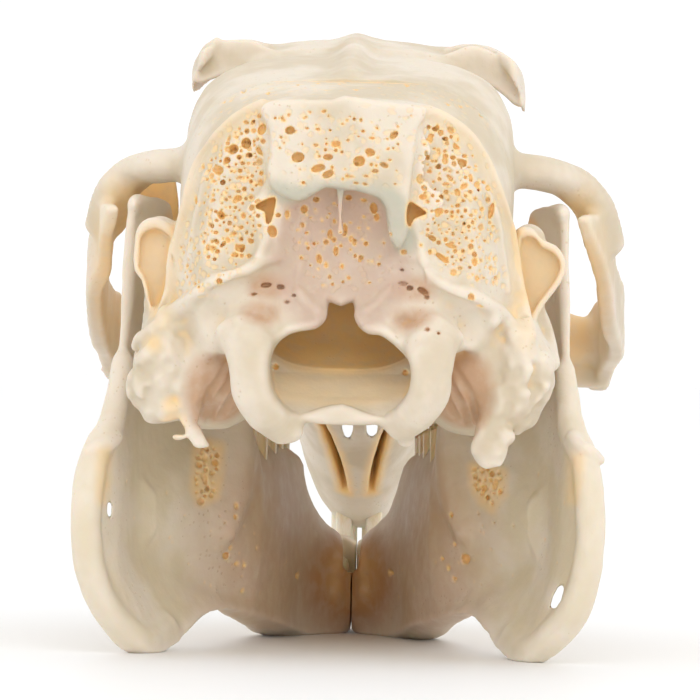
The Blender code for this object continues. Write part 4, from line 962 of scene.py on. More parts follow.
def foramenForm():
    # the way in through the back, its floor rising forward
    edge, end, lowest, rise = cranium["foramenFloor"]
    outline = smoothLine([seen(px, py, edge) for px, py in cranium["foramen"]], 2, closed=True)

    def distance(x, u, z):
        inward = np.clip(u - edge, 0.0, 9.0)
        flat = outlineDistance(outline, x, z) + 0.02 * inward
        floor = lowest + rise * inward - z
        return np.maximum(np.maximum(flat, floor), u - end)

    low = (outline[:, 0].min(), -1.0, outline[:, 1].min())
    return low, (outline[:, 0].max(), end, outline[:, 1].max()), distance


def slitForm(side):
    # a tall lens-shaped cut along the roof of the mouth
    table = smoothLine(cranium["incisiveSlit"], 6)

    def distance(x, u, z):
        middle = side * np.interp(u, table[:, 0], table[:, 1])
        half = np.interp(u, table[:, 0], table[:, 2])
        ends = np.maximum(table[0, 0] - u, u - table[-1, 0])
        return np.maximum(np.maximum(np.abs(x - middle) - half, ends), np.maximum(6.0 - z, z - 22.0))

    return (min(side * 4.2, 0.0), table[0, 0], 6.0), (max(side * 4.2, 0.0), table[-1, 0], 22.0), distance


def earForm(side, size):
    # the ear opening as a flattened funnel; a smaller one hollows it
    points = np.array(cranium["ear"][side], float)
    middle = points.mean(0)
    return facing(tuple(map(tuple, middle + (points - middle) * size)), 10.6, 3.2, 0.5 * size)


def shapeFace(block, side):
    # what each side adds, and how softly it is joined
    for form, blend in (
        (sideLoft(cranium["toothBlock"], side, 3.0), 1.2),
        (archForm(side), 0.8),
        (tube(cranium["archRoot"][side], (1.7, 1.3), (1.0, 1.0, 0.66)), 1.0),
        (tube(mirrored(cranium["cheekRoot"], side), (3.2, 1.75), (1.0, 1.0, 0.9)), 1.2),
        (facing(cranium["cheekSpike"][side], 46.0, 1.3), 0.3),
        (facing(cranium["jointWall"][side], 25.5, 1.0), 0.8),
        (pterygoidForm(side), 0.6),
        (beside(cranium["mastoid"], side), 0.5),
        (tube(mirrored(cranium["earTube"], side), (3.0, 1.7, 1.2)), 0.8),
        (browForm(side), 0.9),
        (facing(cranium["browWall"][side], 27.6, 0.8, 0.25), 0.5),
    ):
        block.join(form, blend)


def shapeEar(block, side):
    block.join(earForm(side, 1.0), 0.3)
    block.carve(facing(cranium["ear"][side], 7.2, 0.2), 0.0)
    inner = earForm(side, 0.74)
    low, high, distance = inner
    block.carve((low, high, lambda x, u, z: distance(x, u + 2.1, z)), 0.5)
    # the inside of the ear funnel is painted warm: painted shade
    block.tint(inner, "amber", 0.4, 0.8)
    for pixels in cranium["grooves"][side]:
        line = [block.onSurface(px, py) for px, py in pixels]
        block.carve(tube([(x, u - 0.1, z) for x, u, z in line], (0.1, 0.32, 0.25), steps=3), 0.3)


def shadeAndStainCranium(block, atBack):
    # colour laid into the bone: painted shade in hollows, slits, holes and the cavity behind each jaw joint,
    # painted light inside the braincase, stains along the seam and the crest rims, and where the bone is rough
    # and porous
    paintLightAndShade(block, cranium["tintLumps"], (1, -1))
    low, high = cranium["suture"]

    def suture(x, u, z):
        return np.abs(u - cranium["split"] - 0.4 * np.sin(2.3 * x) - 0.25 * np.sin(5.1 * x + z)) + 0 * z

    block.tint((low, high, suture), "amber", 0.12, 0.5)
    for side in (-1, 1):
        # the wall behind each jaw joint is painted amber and brown: painted shade of the cavity there
        wall = facing(cranium["jointWall"][side], 24.6, 1.6)
        block.tint(wall, "amber", 0.9, 0.8)
        block.tint(wall, "brown", 0.5, 0.8)
        # the slits in the roof of the mouth are painted warm inside: painted shade
        block.tint(slitForm(side), "amber", 1.0, 0.9)
    if not atBack:
        return
    for px, py, depth, halfX, halfU, halfZ, name, strength, soft in back["tintLumps"]:
        block.tint(lump(*drawn(((px, py),), depth)[0], halfX, halfU, halfZ), name, strength, soft)
    for pixel in back["brownPatches"]:
        block.tint(lump(*drawn((pixel,), 8.0, -1.0)[0], 2.0, 3.0, 2.9), "brown", 0.7, 1.0)
    # lines of painted shade along the ear creases and under the raised plate
    for pixels, radii, depth, flat, name, strength, soft in back["shadeLines"]:
        block.tint(tube(drawn(pixels, depth), radii, flat), name, strength, soft)
    for pixels, radii in back["ridges"][:2]:
        line = [block.onSurface(px, py) for px, py in pixels]
        block.tint(tube(line, (0.5,), steps=3), "amber", 0.22, 0.9)
    # painted brown shade in the hollows and round the holes
    for px, py, wide in back["brownSpots"]:
        block.tint(lump(*block.onSurface(px, py), wide, 1.0, 0.5), "brown", 0.7, 0.9)
    for outline, *_, share in back["porousFields"]:
        block.tint(sight(outline, -1.0, 11.5), "porous", share, 0.8)


def shapeCranium(block):
    atBack = block.low[1] < 0
    for part in ("braincase", "snout", "nasalTip", "base", "septum", "palate"):
        block.join(loft(cranium[part]), 1.2)
    for side in (-1, 1):
        shapeFace(block, side)
    block.join(tube(cranium["roofCrest"], (0.4, 0.7, 0.9, 0.5)), 1.6)
    block.join(nuchalForm(), 1.3)
    for side in (-1, 1):
        block.carve(sight(cranium["notch"][side], -1.0, 7.4), 1.0)
        block.join(beside(cranium["bulla"], side), 0.8)
        line = alongSight(cranium["paroccipital"][side])
        block.join(tube(line, cranium["paroccipitalRadii"][side], (1.0, 0.8, 1.0)), 0.5)
    if atBack:
        for *form, blend in cranium["recess"]:
            block.carve(lump(*form), blend)
        shapeBackRelief(block)
        for side in (-1, 1):
            shapeEar(block, side)
    for side in (-1, 1):
        block.join(tube(alongSight(cranium["condyle"][side]), cranium["condyleRadii"], (1.0, 0.78, 1.0)), 0.9)
    block.join(shieldForm(), 0.3)
    if atBack:
        line = drawn(back["needle"], 3.4, -0.9)
        block.join(tube(line, (0.3, 0.18, 0.16, 0.24), (1.0, 6.0, 1.0)), 0.1)
    shadeAndStainCranium(block, atBack)
    roughen(block, cranium["roughness"])
    block.carve(foramenForm(), 0.7)
    block.carve(loft(cranium["brainHollow"]), 1.4)
    block.carve(loft(cranium["nasalHollow"]), 0.6)
    for side in (-1, 1):
        block.carve(slitForm(side), 0.4)
    for gap in cranium["gaps"]:
        block.carve(sight(gap, 36.0, 73.0), 0.1)
    if atBack:
        drillBack(block)


def makeCranium():
    pieces = []
    split = cranium["split"]
    overlap = cranium["overlap"]
    for name, low, high, step in (
        ("skull_rear", (-22.0, -0.8, 12.5), (22.0, split + overlap, 43.5), cranium["rearStep"]),
        ("skull_front", (-22.3, split - overlap, 7.0), (23.0, 73.6, 49.0), cranium["frontStep"]),
    ):
        block = Block(low, high, step)
        shapeCranium(block)
        say(f"{name} shaped")
        item = skin(name, block, cranium["faces"])
        markHollows(item, block)
        pieces.append(item)
    return pieces


# Lower jaw: two halves that meet at the chin.
jaw = {
    "step": 0.15,
    "box": ((-0.6, 8, -0.6), (20.8, 63.6, 36.2)),
    "faces": 180000,
    "outline": (
        (13, 0), (17.5, 0.9), (23, 2.9), (29, 2.6), (36, 1.4), (43, 0.3), (48, 0), (52, 0.9),
        (57, 2.2), (61.5, 4.2), (62.6, 6), (61.4, 7.4), (56, 7), (51, 7.4), (46.6, 9), (43.6, 12.4),
        (43, 14.6), (28.6, 15.8), (26.4, 19), (24.8, 24), (23.6, 29), (22.6, 33.2), (21.6, 34.7),
        (17.6, 34.7), (16.9, 33), (16.6, 28), (15.4, 22), (13, 18), (10.6, 16), (9.2, 12.8),
        (8.8, 9), (9.3, 5), (10.8, 1.8),
    ),
    "spread": (
        (8, 19.2), (10, 18.8), (13, 17.5), (18, 16.3), (24, 13.2), (30, 10), (36, 7.4),
        (43, 5.2), (47, 3.4), (50, 2.5), (63, 1.6),
    ),
    "curl": (
        (9, 2.5), (13, 3), (18, 4.5), (25, 6), (32, 3.2), (40, 1.4), (48, 0.5), (63, 0),
    ),
    "curlHeight": 10,
    "thickness": 1.4,
    "rim": (
        (15.6, 22), (13.2, 17.9), (10.8, 15.6), (9.7, 12.6), (9.3, 9), (9.8, 5.4), (11.2, 2.5),
        (13.4, 1.02), (17.4, 1.75),
    ),
    "rimRadius": 1,
    # photo pixels: a ridge behind the teeth, a slit and a notch that show light, and small holes
    "crest": {
        -1: ((240, 407, 27.6), (239, 425, 27.4), (237, 452, 27), (233, 490, 26), (226, 530, 24.5)),
        1: ((448, 410, 27.6), (449, 428, 27.4), (452, 452, 27), (457, 490, 26), (464, 530, 24.5)),
    },
    "crestRadii": (0.3, 0.9, 1.3, 1.2, 0.6),
    "slit": {
        -1: ((107, 503), (109, 501), (111, 505), (110.5, 516), (108, 519), (106.5, 512)),
        1: ((562, 584), (564, 588), (561, 600), (555, 609), (550, 607), (553, 596), (558, 587)),
    },
    "notch": ((342, 530), (362, 530), (360, 552), (358, 567), (353, 573), (347, 572), (343, 566), (343, 550)),
    "ledge": {
        -1: ((87, 451), (98, 446), (110, 443), (119, 438)),
        1: ((572, 437), (580, 446), (590, 450), (600, 460)),
    },
    "streak": {
        -1: ((100, 452), (108, 450), (107, 480), (103, 502), (99, 500)),
        1: ((572, 456), (581, 455), (579, 480), (574, 502), (570, 500)),
    },
    "window": {
        -1: ((196, 446), (208, 443), (221, 446), (220, 470), (216, 496), (200, 504), (194, 490)),
        1: ((472, 466), (490, 464), (504, 472), (503, 494), (492, 509), (480, 500), (473, 484)),
    },
    "holes": {
        -1: (
            (226, 555, 6, 7, 0), (231, 547, 4, 4, 0), (237, 563, 5, 4, 0), (245, 564, 4, 4, 0),
            (238, 505, 4, 5, 0), (237, 516, 4, 4, 0), (243, 590, 5, 3, 20), (300, 573, 9, 6, 10),
        ),
        1: (
            (466, 559, 9, 10, 0), (455, 579, 5, 4, 0), (449, 568, 4, 4, 0), (443, 559, 4, 3, 0),
            (390, 574, 8, 5, -10), (452, 515, 4, 4, 0), (455, 545, 4, 3, 0),
        ),
    },
    "pores": (((130, 440), (250, 520), (300, 560), (310, 610), (230, 590), (140, 600), (116, 520)), 24, 1.4, 2.6),
    # u, x in, x out, z low, z high of the part that holds the teeth
    "body": (
        (19, 14.2, 15.6, 9, 12),
        (24, 9.9, 13.2, 6, 15.6),
        (28.2, 6.9, 11.6, 3.4, 17.4),
        (30.5, 6.2, 11.2, 2.6, 16.2),
        (36, 4.9, 10, 1.3, 16),
        (42, 3.9, 9.2, 0.2, 15),
        (45.2, 2.2, 7.4, -0.2, 10.8),
        (48.5, -0.6, 5.6, -0.2, 8.2),
        (52, -1.2, 4.6, 0.6, 7.6),
        (57, -1.2, 4, 1.8, 7.2),
        (62.4, -0.8, 3.2, 4, 7.2),
    ),
    "condyle": (16.3, 19.4, 34.1, 0.7, 2.9, 0.9),
    # small knobs beside the seam, as photo pixels and sizes in mm
    "knobs": ((338, 566, 1), (362, 566, 1), (336, 590, 0.8), (364, 590, 0.8)),
    "middlePixel": 350,
    "mirrorPixel": 696,    # a column on one side and its match on the other add up to this
    "roughness": ((3, 0.12, 0.12), (1.2, 0.04, 0.04), (0.55, 0.02, 0.02)),
    "branch": (15.4, 23.4, 27, 2.6, 3.4, 8.4),
    # painted light and shade: warm light through the thin bone at the chin, and painted shade on the inner wall
    # of each half; place, half sizes, colour, strength and softness
    "tintLumps": (
        (0, 46, 5, 1.4, 7, 1.6, "amber", 0.4, 2), (0, 46, 4.6, 2.6, 9, 2.6, "brown", 1, 3.4),
        (6, 32, 8, 3, 14, 6, "brown", 0.5, 5),
    ),
    "symphysis": 0.05,
    "seed": 23,
}


def jawX(u, z):
    curl = np.interp(u, *np.array(jaw["curl"]).T) * np.maximum(0.0, 1.0 - z / jaw["curlHeight"]) ** 2
    return onCurve(jaw["spread"], u) - curl


def jawPlateForm(side):
    def middle(u, z):
        return side * np.maximum(jawX(u, z), 0.6)

    def thickness(u, z):
        # thin up the branch that carries the joint
        return jaw["thickness"] - 0.65 * np.clip((z - 14.0) / 8.0, 0.0, 1.0) + 0 * u

    return plate(0, jaw["outline"], middle, thickness, 0.35)


def withinJaw(form, side):
    # only the inner half of a form that crosses the jaw
    low, high, distance = form
    return low, high, lambda x, u, z: np.maximum(distance(x, u, z), side * x - jawX(u, z) + 0.2)


def shapeJaw(block, side):
    block.join(jawPlateForm(side), 0.8)
    block.join(sideLoft(jaw["body"], side, 2.6), 2.2)
    rim = [(side * (float(jawX(u, z)) - 0.2), u, z) for u, z in jaw["rim"]]
    block.join(tube(rim, (0.75, jaw["rimRadius"], 0.9)), 0.9)
    block.join(tube(alongSight(jaw["crest"][side]), jaw["crestRadii"]), 2.2)
    block.join(tube([block.onSurface(px, py, 11.0) for px, py in jaw["ledge"][side]], (0.35, 0.5, 0.4)), 0.4)
    block.join(beside(jaw["condyle"], side), 0.5)
    for px, py, size in jaw["knobs"]:
        if (px > jaw["middlePixel"]) == (side > 0):
            x, u, z = block.onSurface(px, py, 46.0)
            block.join(lump(x, u + 0.5, z, size * 0.7, size * 1.2, size), 0.8)
    roughen(block, jaw["roughness"])
    block.carve(sight(jaw["slit"][side], 8.0, 40.0), 0.15)
    block.carve(sight(jaw["notch"], 38.0, 60.0), 0.3)
    # the inner face behind the porous window is painted amber: painted light through the thin plate
    block.tint(withinJaw(sight(jaw["window"][side], 12.0, 30.0), side), "amber", 0.6, 0.6)
    chance = np.random.default_rng(jaw["seed"])
    drill(block, scattered(jaw["window"][side], 40, 4.0, 10.0, chance, 0.42), 0.5)
    drill(block, jaw["holes"][side], 0.8)
    outline, count, least, most = jaw["pores"]
    if side > 0:
        outline = tuple((jaw["mirrorPixel"] - px, py) for px, py in outline)
    drill(block, scattered(outline, count, least, most, chance), 0.3, "amber", 0.5)
    # the inner face of the branch that carries the joint is painted amber and brown: painted shade of the cavity
    # by the joint
    branch = withinJaw(beside(jaw["branch"], side), side)
    block.tint(branch, "amber", 0.8, 0.5)
    block.tint(branch, "brown", 0.3, 0.5)
    paintLightAndShade(block, jaw["tintLumps"], (side,))
    block.tint(withinJaw(sight(jaw["streak"][side], 6.0, 14.0), side), "amber", 0.4, 0.6)
    # the flat face at the midline, and the worn spots that the jaw stands on
    x, z = block.window(block.low, block.low + block.step * np.array(block.values.shape))[1::2]
    block.values = np.maximum(block.values, jaw["symphysis"] - side * x)
    block.values = np.maximum(block.values, skull["ground"] - z)


def makeJaw(side, word):
    low, high = jaw["box"]
    if side < 0:
        low, high = (-high[0], low[1], low[2]), (-low[0], high[1], high[2])
    block = Block(low, high, jaw["step"])
    shapeJaw(block, side)
    say(f"{word} jaw shaped")
    item = skin(f"jaw_{word}", block, jaw["faces"])
    markHollows(item, block)
    return item


# Teeth: one node tree bends and folds a column for each tooth.
teeth = {
    # places along each cheek row and across, half lengths and half widths, then biting and root heights
    "upper": (
        (44.4, 7.6, 1.15, 1.5), (41.6, 8.2, 1.25, 1.9), (38.7, 8.5, 1.25, 1.95), (35.8, 8.7, 1.25, 1.9),
        (32.9, 8.8, 1.2, 1.7), (30.6, 8.8, 0.7, 0.9),
    ),
    "upperBite": 17.7,
    "upperRoot": 23.4,
    "lower": (
        (41.4, 6.4, 1.35, 1.35), (38.4, 6.8, 1.3, 1.4), (35.4, 7.2, 1.3, 1.4), (32.4, 7.7, 1.25, 1.3),
        (29.8, 8.2, 0.9, 1),
    ),
    "lowerBite": 17.1,
    "lowerRoot": 10.6,
    "ridge": 0.16,
    "slope": 0.08,
    "levelU": 36,
    # front teeth from the side: u and z of the root, two bends and the tip, then x, half width and half depth
    "front": {
        "upper_incisor": ((64.4, 14.3), (67.4, 12.9), (69.3, 9.6), (68.4, 4.9), 1.32, 1.15, 1.1, 0.9),
        "upper_peg_tooth": ((64.9, 11.4), (65.7, 10), (66.2, 8.8), (66.2, 7.6), 1.3, 0.7, 0.6, 0.2),
        "lower_incisor": ((50, 3.3), (55.6, 4), (61, 5.4), (66.4, 6.4), 1.65, 1.1, 1, -0.9),
    },
}


def putNode(tree, kind, values=(), **settings):
    # a new node; values gives an input a number or another node's socket
    node = tree.nodes.new(kind)
    for key, value in settings.items():
        setattr(node, key, value)
    for key, value in dict(values).items():
        if isinstance(value, bpy.types.NodeSocket):
            tree.links.new(value, node.inputs[key])
        else:
            node.inputs[key].default_value = value
    return node


def maths(tree, kind, a, b=0.0, c=0.0):
    return putNode(tree, "ShaderNodeMath", {0: a, 1: b, 2: c}, operation=kind).outputs[0]


def addSocket(tree, way, name, kind, value=None):
    socket = tree.interface.new_socket(name, in_out=way, socket_type=f"NodeSocket{kind}")
    if value is not None:
        socket.default_value = value
    return socket.identifier


def toothTree():
    tree = bpy.data.node_groups.new("tooth", "GeometryNodeTree")
    addSocket(tree, "INPUT", "Geometry", "Geometry")
    sockets = {}
    for name, kind, value in (
        ("Root", "Vector", (0, 0, 0)), ("Bend Near Root", "Vector", (0, 0, 0)),
        ("Bend Near Tip", "Vector", (0, 0, 0)), ("Tip", "Vector", (0, 0, 0)),
        ("Half Width", "Float", 0.001), ("Half Length", "Float", 0.001),
        ("Squareness", "Float", 2.6), ("Fold", "Float", 0.0), ("Fold Side", "Float", 1.0),
        ("Ridge", "Float", 0.0), ("Chisel", "Float", 0.0), ("Root Size", "Float", 0.92),
        ("Enamel", "Material", None),
    ):
        sockets[name] = addSocket(tree, "INPUT", name, kind, value)
    addSocket(tree, "OUTPUT", "Geometry", "Geometry")
    given = tree.nodes.new("NodeGroupInput").outputs
    column = putNode(
        tree, "GeometryNodeMeshCylinder",
        {"Vertices": 48, "Side Segments": 28, "Fill Segments": 7, "Radius": 1.0, "Depth": 2.0},
        fill_type="TRIANGLE_FAN",
    )
    place = putNode(tree, "GeometryNodeInputPosition")
    axes = putNode(tree, "ShaderNodeSeparateXYZ", {0: place.outputs[0]}).outputs
    along = maths(tree, "MULTIPLY_ADD", axes[2], 0.5, 0.5)
    squares = [maths(tree, "MULTIPLY", axis, axis) for axis in axes[:2]]
    away = maths(tree, "MAXIMUM", maths(tree, "SQRT", maths(tree, "ADD", *squares)), 0.001)
    powers = []
    for axis in axes[:2]:
        share = maths(tree, "ABSOLUTE", maths(tree, "DIVIDE", axis, away))
        powers.append(maths(tree, "POWER", share, given["Squareness"]))
    total = maths(tree, "ADD", maths(tree, "ADD", *powers), 0.0001)
    square = maths(tree, "POWER", total, maths(tree, "DIVIDE", -1.0, given["Squareness"]))
    toFold = maths(tree, "MULTIPLY", maths(tree, "DIVIDE", axes[0], away), given["Fold Side"])
    fold = putNode(
        tree, "ShaderNodeMapRange",
        {"Value": toFold, "From Min": 0.93, "From Max": 1.0, "To Min": 0.0, "To Max": given["Fold"]},
        interpolation_type="SMOOTHSTEP",
    ).outputs[0]
    size = putNode(tree, "ShaderNodeMapRange", {"Value": along, "To Min": given["Root Size"], "To Max": 1.0})
    unfolded = maths(tree, "SUBTRACT", 1.0, fold)
    scale = maths(tree, "MULTIPLY", maths(tree, "MULTIPLY", square, size.outputs[0]), unfolded)
    wide = maths(tree, "MULTIPLY", maths(tree, "MULTIPLY", axes[0], scale), given["Half Width"])
    deep = maths(tree, "MULTIPLY", maths(tree, "MULTIPLY", axes[1], scale), given["Half Length"])
    path = putNode(
        tree, "GeometryNodeCurvePrimitiveBezierSegment",
        {"Start": given["Root"], "Start Handle": given["Bend Near Root"], "End Handle": given["Bend Near Tip"],
         "End": given["Tip"], "Resolution": 32},
    )
    at = putNode(tree, "GeometryNodeSampleCurve", {"Curves": path.outputs[0], "Factor": along}, mode="FACTOR")
    tangent = at.outputs["Tangent"]
    ahead = putNode(tree, "ShaderNodeVectorMath", {0: tangent, 1: (1, 0, 0)}, operation="CROSS_PRODUCT")
    across = putNode(tree, "ShaderNodeCombineXYZ", {0: wide})
    depth = putNode(tree, "ShaderNodeVectorMath", {0: ahead.outputs[0], "Scale": deep}, operation="SCALE")
    # ridges across the biting end, or a chisel edge
    atTip = putNode(tree, "ShaderNodeMapRange", {"Value": along, "From Min": 0.9, "From Max": 1.0}).outputs[0]
    wave = maths(tree, "COSINE", maths(tree, "MULTIPLY", axes[1], 2 * math.pi))
    lift = maths(tree, "MULTIPLY", wave, given["Ridge"])
    lift = maths(tree, "MULTIPLY_ADD", deep, given["Chisel"], lift)
    lift = maths(tree, "MULTIPLY", lift, atTip)
    grown = putNode(tree, "ShaderNodeVectorMath", {0: tangent, "Scale": lift}, operation="SCALE")
    point = at.outputs["Position"]
    for more in (across.outputs[0], depth.outputs[0], grown.outputs[0]):
        point = putNode(tree, "ShaderNodeVectorMath", {0: point, 1: more}, operation="ADD").outputs[0]
    kept = putNode(
        tree, "GeometryNodeStoreNamedAttribute",
        {"Geometry": column.outputs["Mesh"], "Name": "along", "Value": along}, data_type="FLOAT", domain="POINT",
    )
    moved = putNode(tree, "GeometryNodeSetPosition", {"Geometry": kept.outputs[0], "Position": point})
    smooth = putNode(tree, "GeometryNodeSetShadeSmooth", {"Geometry": moved.outputs[0]})
    real = putNode(tree, "GeometryNodeRealizeInstances", {"Geometry": smooth.outputs[0]})
    coated = putNode(tree, "GeometryNodeSetMaterial", {"Geometry": real.outputs[0], "Material": given["Enamel"]})
    end = tree.nodes.new("NodeGroupOutput")
    tree.links.new(coated.outputs[0], end.inputs[0])
    return tree, sockets


def makeTooth(name, nodes, ends, halfWidth, halfLength, settings):
    tree, sockets = nodes
    item = bpy.data.objects.new(f"{name}_tooth", bpy.data.meshes.new(name))
    bpy.context.scene.collection.objects.link(item)
    shape = item.modifiers.new("shape", "NODES")
    shape.node_group = tree
    values = dict(zip(("Root", "Bend Near Root", "Bend Near Tip", "Tip"), place(ends)))
    values["Half Width"] = halfWidth * skull["mm"]
    values["Half Length"] = halfLength * skull["mm"]
    for key, value in {**values, **settings}.items():
        shape[sockets[key]] = value
    plain(item)
    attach(item, "root")
    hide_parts(name)


def makeTeeth():
    nodes = toothTree()
    front = makeEnamel("front")
    cheek = makeEnamel("cheek")
    for side, word in ((-1, "left"), (1, "right")):
        for row, flip in (("upper", 1), ("lower", -1)):
            for number, (u, x, halfLength, halfWidth) in enumerate(teeth[row], start=1):
                bite = teeth[f"{row}Bite"] - teeth["slope"] * (u - teeth["levelU"])
                root = teeth[f"{row}Root"]
                ends = [(side * x, u, root + (bite - root) * share) for share in (0.0, 0.33, 0.67, 1.0)]
                makeTooth(f"{row}_cheek_tooth_{word}_{number}", nodes, ends, halfWidth, halfLength, {
                    "Squareness": 3.0, "Fold": 0.22, "Fold Side": float(-side * flip),
                    "Ridge": teeth["ridge"] * skull["mm"], "Enamel": cheek,
                })
        for stem, (*line, x, halfWidth, halfLength, chisel) in teeth["front"].items():
            ends = [(side * x, u, z) for u, z in line]
            makeTooth(f"{stem}_{word}", nodes, ends, halfWidth, halfLength, {
                "Squareness": 2.5, "Chisel": chisel, "Root Size": 0.95, "Enamel": front,
            })


# Materials. Colours are sRGB, 0 to 255, and scale lengths are in mm.
bone = {
    "ivory": (208, 193, 168),
    "pale": (231, 220, 204),
    # tan, amber, rose, grey and brown are laid mostly as painted shade in hollows, holes, slits and cavities, and
    # amber also as painted light where light would come through thin bone; amber marks real stains along the
    # crests and the seam too
    "tan": (200, 172, 130),
    "amber": (250, 211, 144),
    "rose": (198, 170, 152),
    "grey": (188, 185, 167),
    "brown": (186, 138, 98),
    "jawIvory": (217, 203, 175),
    "patch": 7.0,       # size of the broad tone patches
    "speckle": 1.1,     # size of the fine tone patches
    "grain": 0.35,
    "fibreStretch": (1.0, 0.3, 0.45),
    "pore": 0.55,       # spacing of the finest pores
    "lace": 0.8,        # spacing of the pits between the struts of spongy bone
    "laceReach": 0.44,  # share of that spacing that a pit takes up
    "jitter": (0.0007,) * 3,
    "jitterScale": 1100.0,
    "relief": {"Fibre": 0.2, "Pore": -0.5, "Lace": -1.4},
    "bump": 0.00011,
    "shader": {
        "Subsurface Weight": 0.4, "Subsurface Scale": 0.0005, "Subsurface Radius": (1.0, 0.55, 0.28),
        "Specular IOR Level": 0.35,
    },
}


def linear(colour):
    parts = [c / 255 for c in colour]
    return tuple(c / 12.92 if c <= 0.04045 else ((c + 0.055) / 1.055) ** 2.4 for c in parts) + (1.0,)


def mixColour(tree, share, a, b):
    node = putNode(tree, "ShaderNodeMix", {0: share, 6: a, 7: b}, data_type="RGBA")
    return node.outputs[2]


def ramp(tree, value, low, high, top=1.0):
    values = {"Value": value, "From Min": low, "From Max": high, "To Max": top}
    return putNode(tree, "ShaderNodeMapRange", values, interpolation_type="SMOOTHSTEP").outputs[0]


def noise(tree, vector, size, detail=3.0):
    values = {"Vector": vector, "Scale": 1 / (size * skull["mm"]), "Detail": detail}
    return putNode(tree, "ShaderNodeTexNoise", values).outputs[0]


def cellNoise(tree, vector, spacing):
    values = {"Vector": vector, "Scale": 1 / (spacing * skull["mm"]), "Randomness": 1.0}
    return putNode(tree, "ShaderNodeTexVoronoi", values).outputs["Distance"]


def newGroup(name, inputs, outputs):
    # an empty shader group with its sockets by kind
    tree = bpy.data.node_groups.new(name, "ShaderNodeTree")
    for way, kinds in (("INPUT", inputs), ("OUTPUT", outputs)):
        for kind, keys in kinds.items():
            for key in keys:
                addSocket(tree, way, key, kind)
    return tree, tree.nodes.new("NodeGroupInput").outputs, tree.nodes.new("NodeGroupOutput").inputs


def patchGroup():
    # broad and fine tone patches of old bone
    tree, given, end = newGroup("bone_patches", {"Vector": ["Vector"]}, {"Float": ["Broad", "Fine", "Fibre"]})
    vector = given["Vector"]
    stretched = putNode(tree, "ShaderNodeVectorMath", {0: vector, 1: bone["fibreStretch"]}, operation="MULTIPLY")
    tree.links.new(noise(tree, vector, bone["patch"], 4.0), end["Broad"])
    tree.links.new(noise(tree, vector, bone["speckle"], 4.0), end["Fine"])
    tree.links.new(noise(tree, stretched.outputs[0], bone["grain"], 3.0), end["Fibre"])
    return tree


def poreGroup():
    # the finest pores, thicker in some places, and the lace of spongy bone
    tree, given, end = newGroup(
        "bone_pores", {"Vector": ["Vector"], "Float": ["Broad", "Porous"]}, {"Float": ["Pore", "Lace"]})
    width = ramp(tree, given["Broad"], 0.35, 0.75, 0.26)
    inside = maths(tree, "SUBTRACT", width, cellNoise(tree, given["Vector"], bone["pore"]))
    tree.links.new(ramp(tree, inside, 0.0, 0.1), end["Pore"])
    values = {"Vector": given["Vector"], "Scale": bone["jitterScale"], "Detail": 2.0}
    jitter = putNode(tree, "ShaderNodeTexNoise", values)
    values = {0: jitter.outputs["Color"], 1: bone["jitter"], 2: given["Vector"]}
    shifted = putNode(tree, "ShaderNodeVectorMath", values, operation="MULTIPLY_ADD").outputs[0]
    pit = maths(tree, "SUBTRACT", bone["laceReach"], cellNoise(tree, shifted, bone["lace"]))
    tree.links.new(maths(tree, "MULTIPLY", ramp(tree, pit, 0.0, 0.22), given["Porous"]), end["Lace"])
    return tree


def reliefGroup():
    # grain, fibres and pores as one bump
    heights = bone["relief"]
    tree, given, end = newGroup("bone_relief", {"Float": ["Fine", *heights]}, {"Vector": ["Normal"]})
    height = given["Fine"]
    for key, share in heights.items():
        height = maths(tree, "MULTIPLY_ADD", given[key], share, height)
    bump = putNode(tree, "ShaderNodeBump", {"Height": height, "Strength": 0.6, "Distance": bone["bump"]})
    tree.links.new(bump.outputs[0], end["Normal"])
    return tree


def shadeAndStainGroup():
    # pale tone patches, a painted highlight on edges, warm painted shade in hollows, creases, pores and the pits
    # of the lace, partly the residue that gathers there, then the tints laid in by the blocks, mostly painted
    # shade and light with some real stains
    shadeAndStainTints = ("Brown", "Rose", "Grey", "Amber")
    keys = ("Broad", "Fine", "Pore", "Lace", "Hollow", "Crease", *shadeAndStainTints)
    tree, given, end = newGroup("bone_shade_and_stains", {"Color": ["Bone"], "Float": keys}, {"Color": ["Colour"]})
    creased = ramp(tree, given["Crease"], 0.56, 0.76, 0.6)
    steady = maths(tree, "MULTIPLY_ADD", ramp(tree, given["Fine"], 0.3, 0.6), 0.25, 0.75)
    layers = [
        (ramp(tree, given["Broad"], 0.42, 0.62, 0.7), "pale"),
        # painted highlight: edges paler
        (ramp(tree, maths(tree, "SUBTRACT", 1.0, given["Crease"]), 0.5, 0.72, 0.8), "pale"),
        # painted shade: hollows tan, partly residue, creases amber, the finest pores tan and the pits of the lace
        # amber
        (ramp(tree, given["Hollow"], 0.55, 0.9, 0.6), "tan"),
        (maths(tree, "MULTIPLY", creased, ramp(tree, given["Fine"], 0.35, 0.6)), "amber"),
        (maths(tree, "MULTIPLY", given["Pore"], 0.35), "tan"),
        (maths(tree, "MULTIPLY", given["Lace"], 0.5), "amber"),
    ]
    # the tints from the blocks: mostly painted shade and light, some real stains
    layers += [(maths(tree, "MULTIPLY", given[key], steady), key.lower()) for key in shadeAndStainTints]
    colour = given["Bone"]
    for share, name in layers:
        colour = mixColour(tree, share, colour, linear(bone[name]))
    tree.links.new(colour, end["Colour"])
    return tree


def painted(tree, name):
    # a value stored at the vertices
    return putNode(tree, "ShaderNodeAttribute", attribute_name=name, attribute_type="GEOMETRY").outputs["Fac"]


def newMaterial(name, settings):
    material = bpy.data.materials.new(name)
    material.use_nodes = True
    shader = material.node_tree.nodes["Principled BSDF"]
    for key, value in settings.items():
        shader.inputs[key].default_value = value
    return material, material.node_tree, shader.inputs


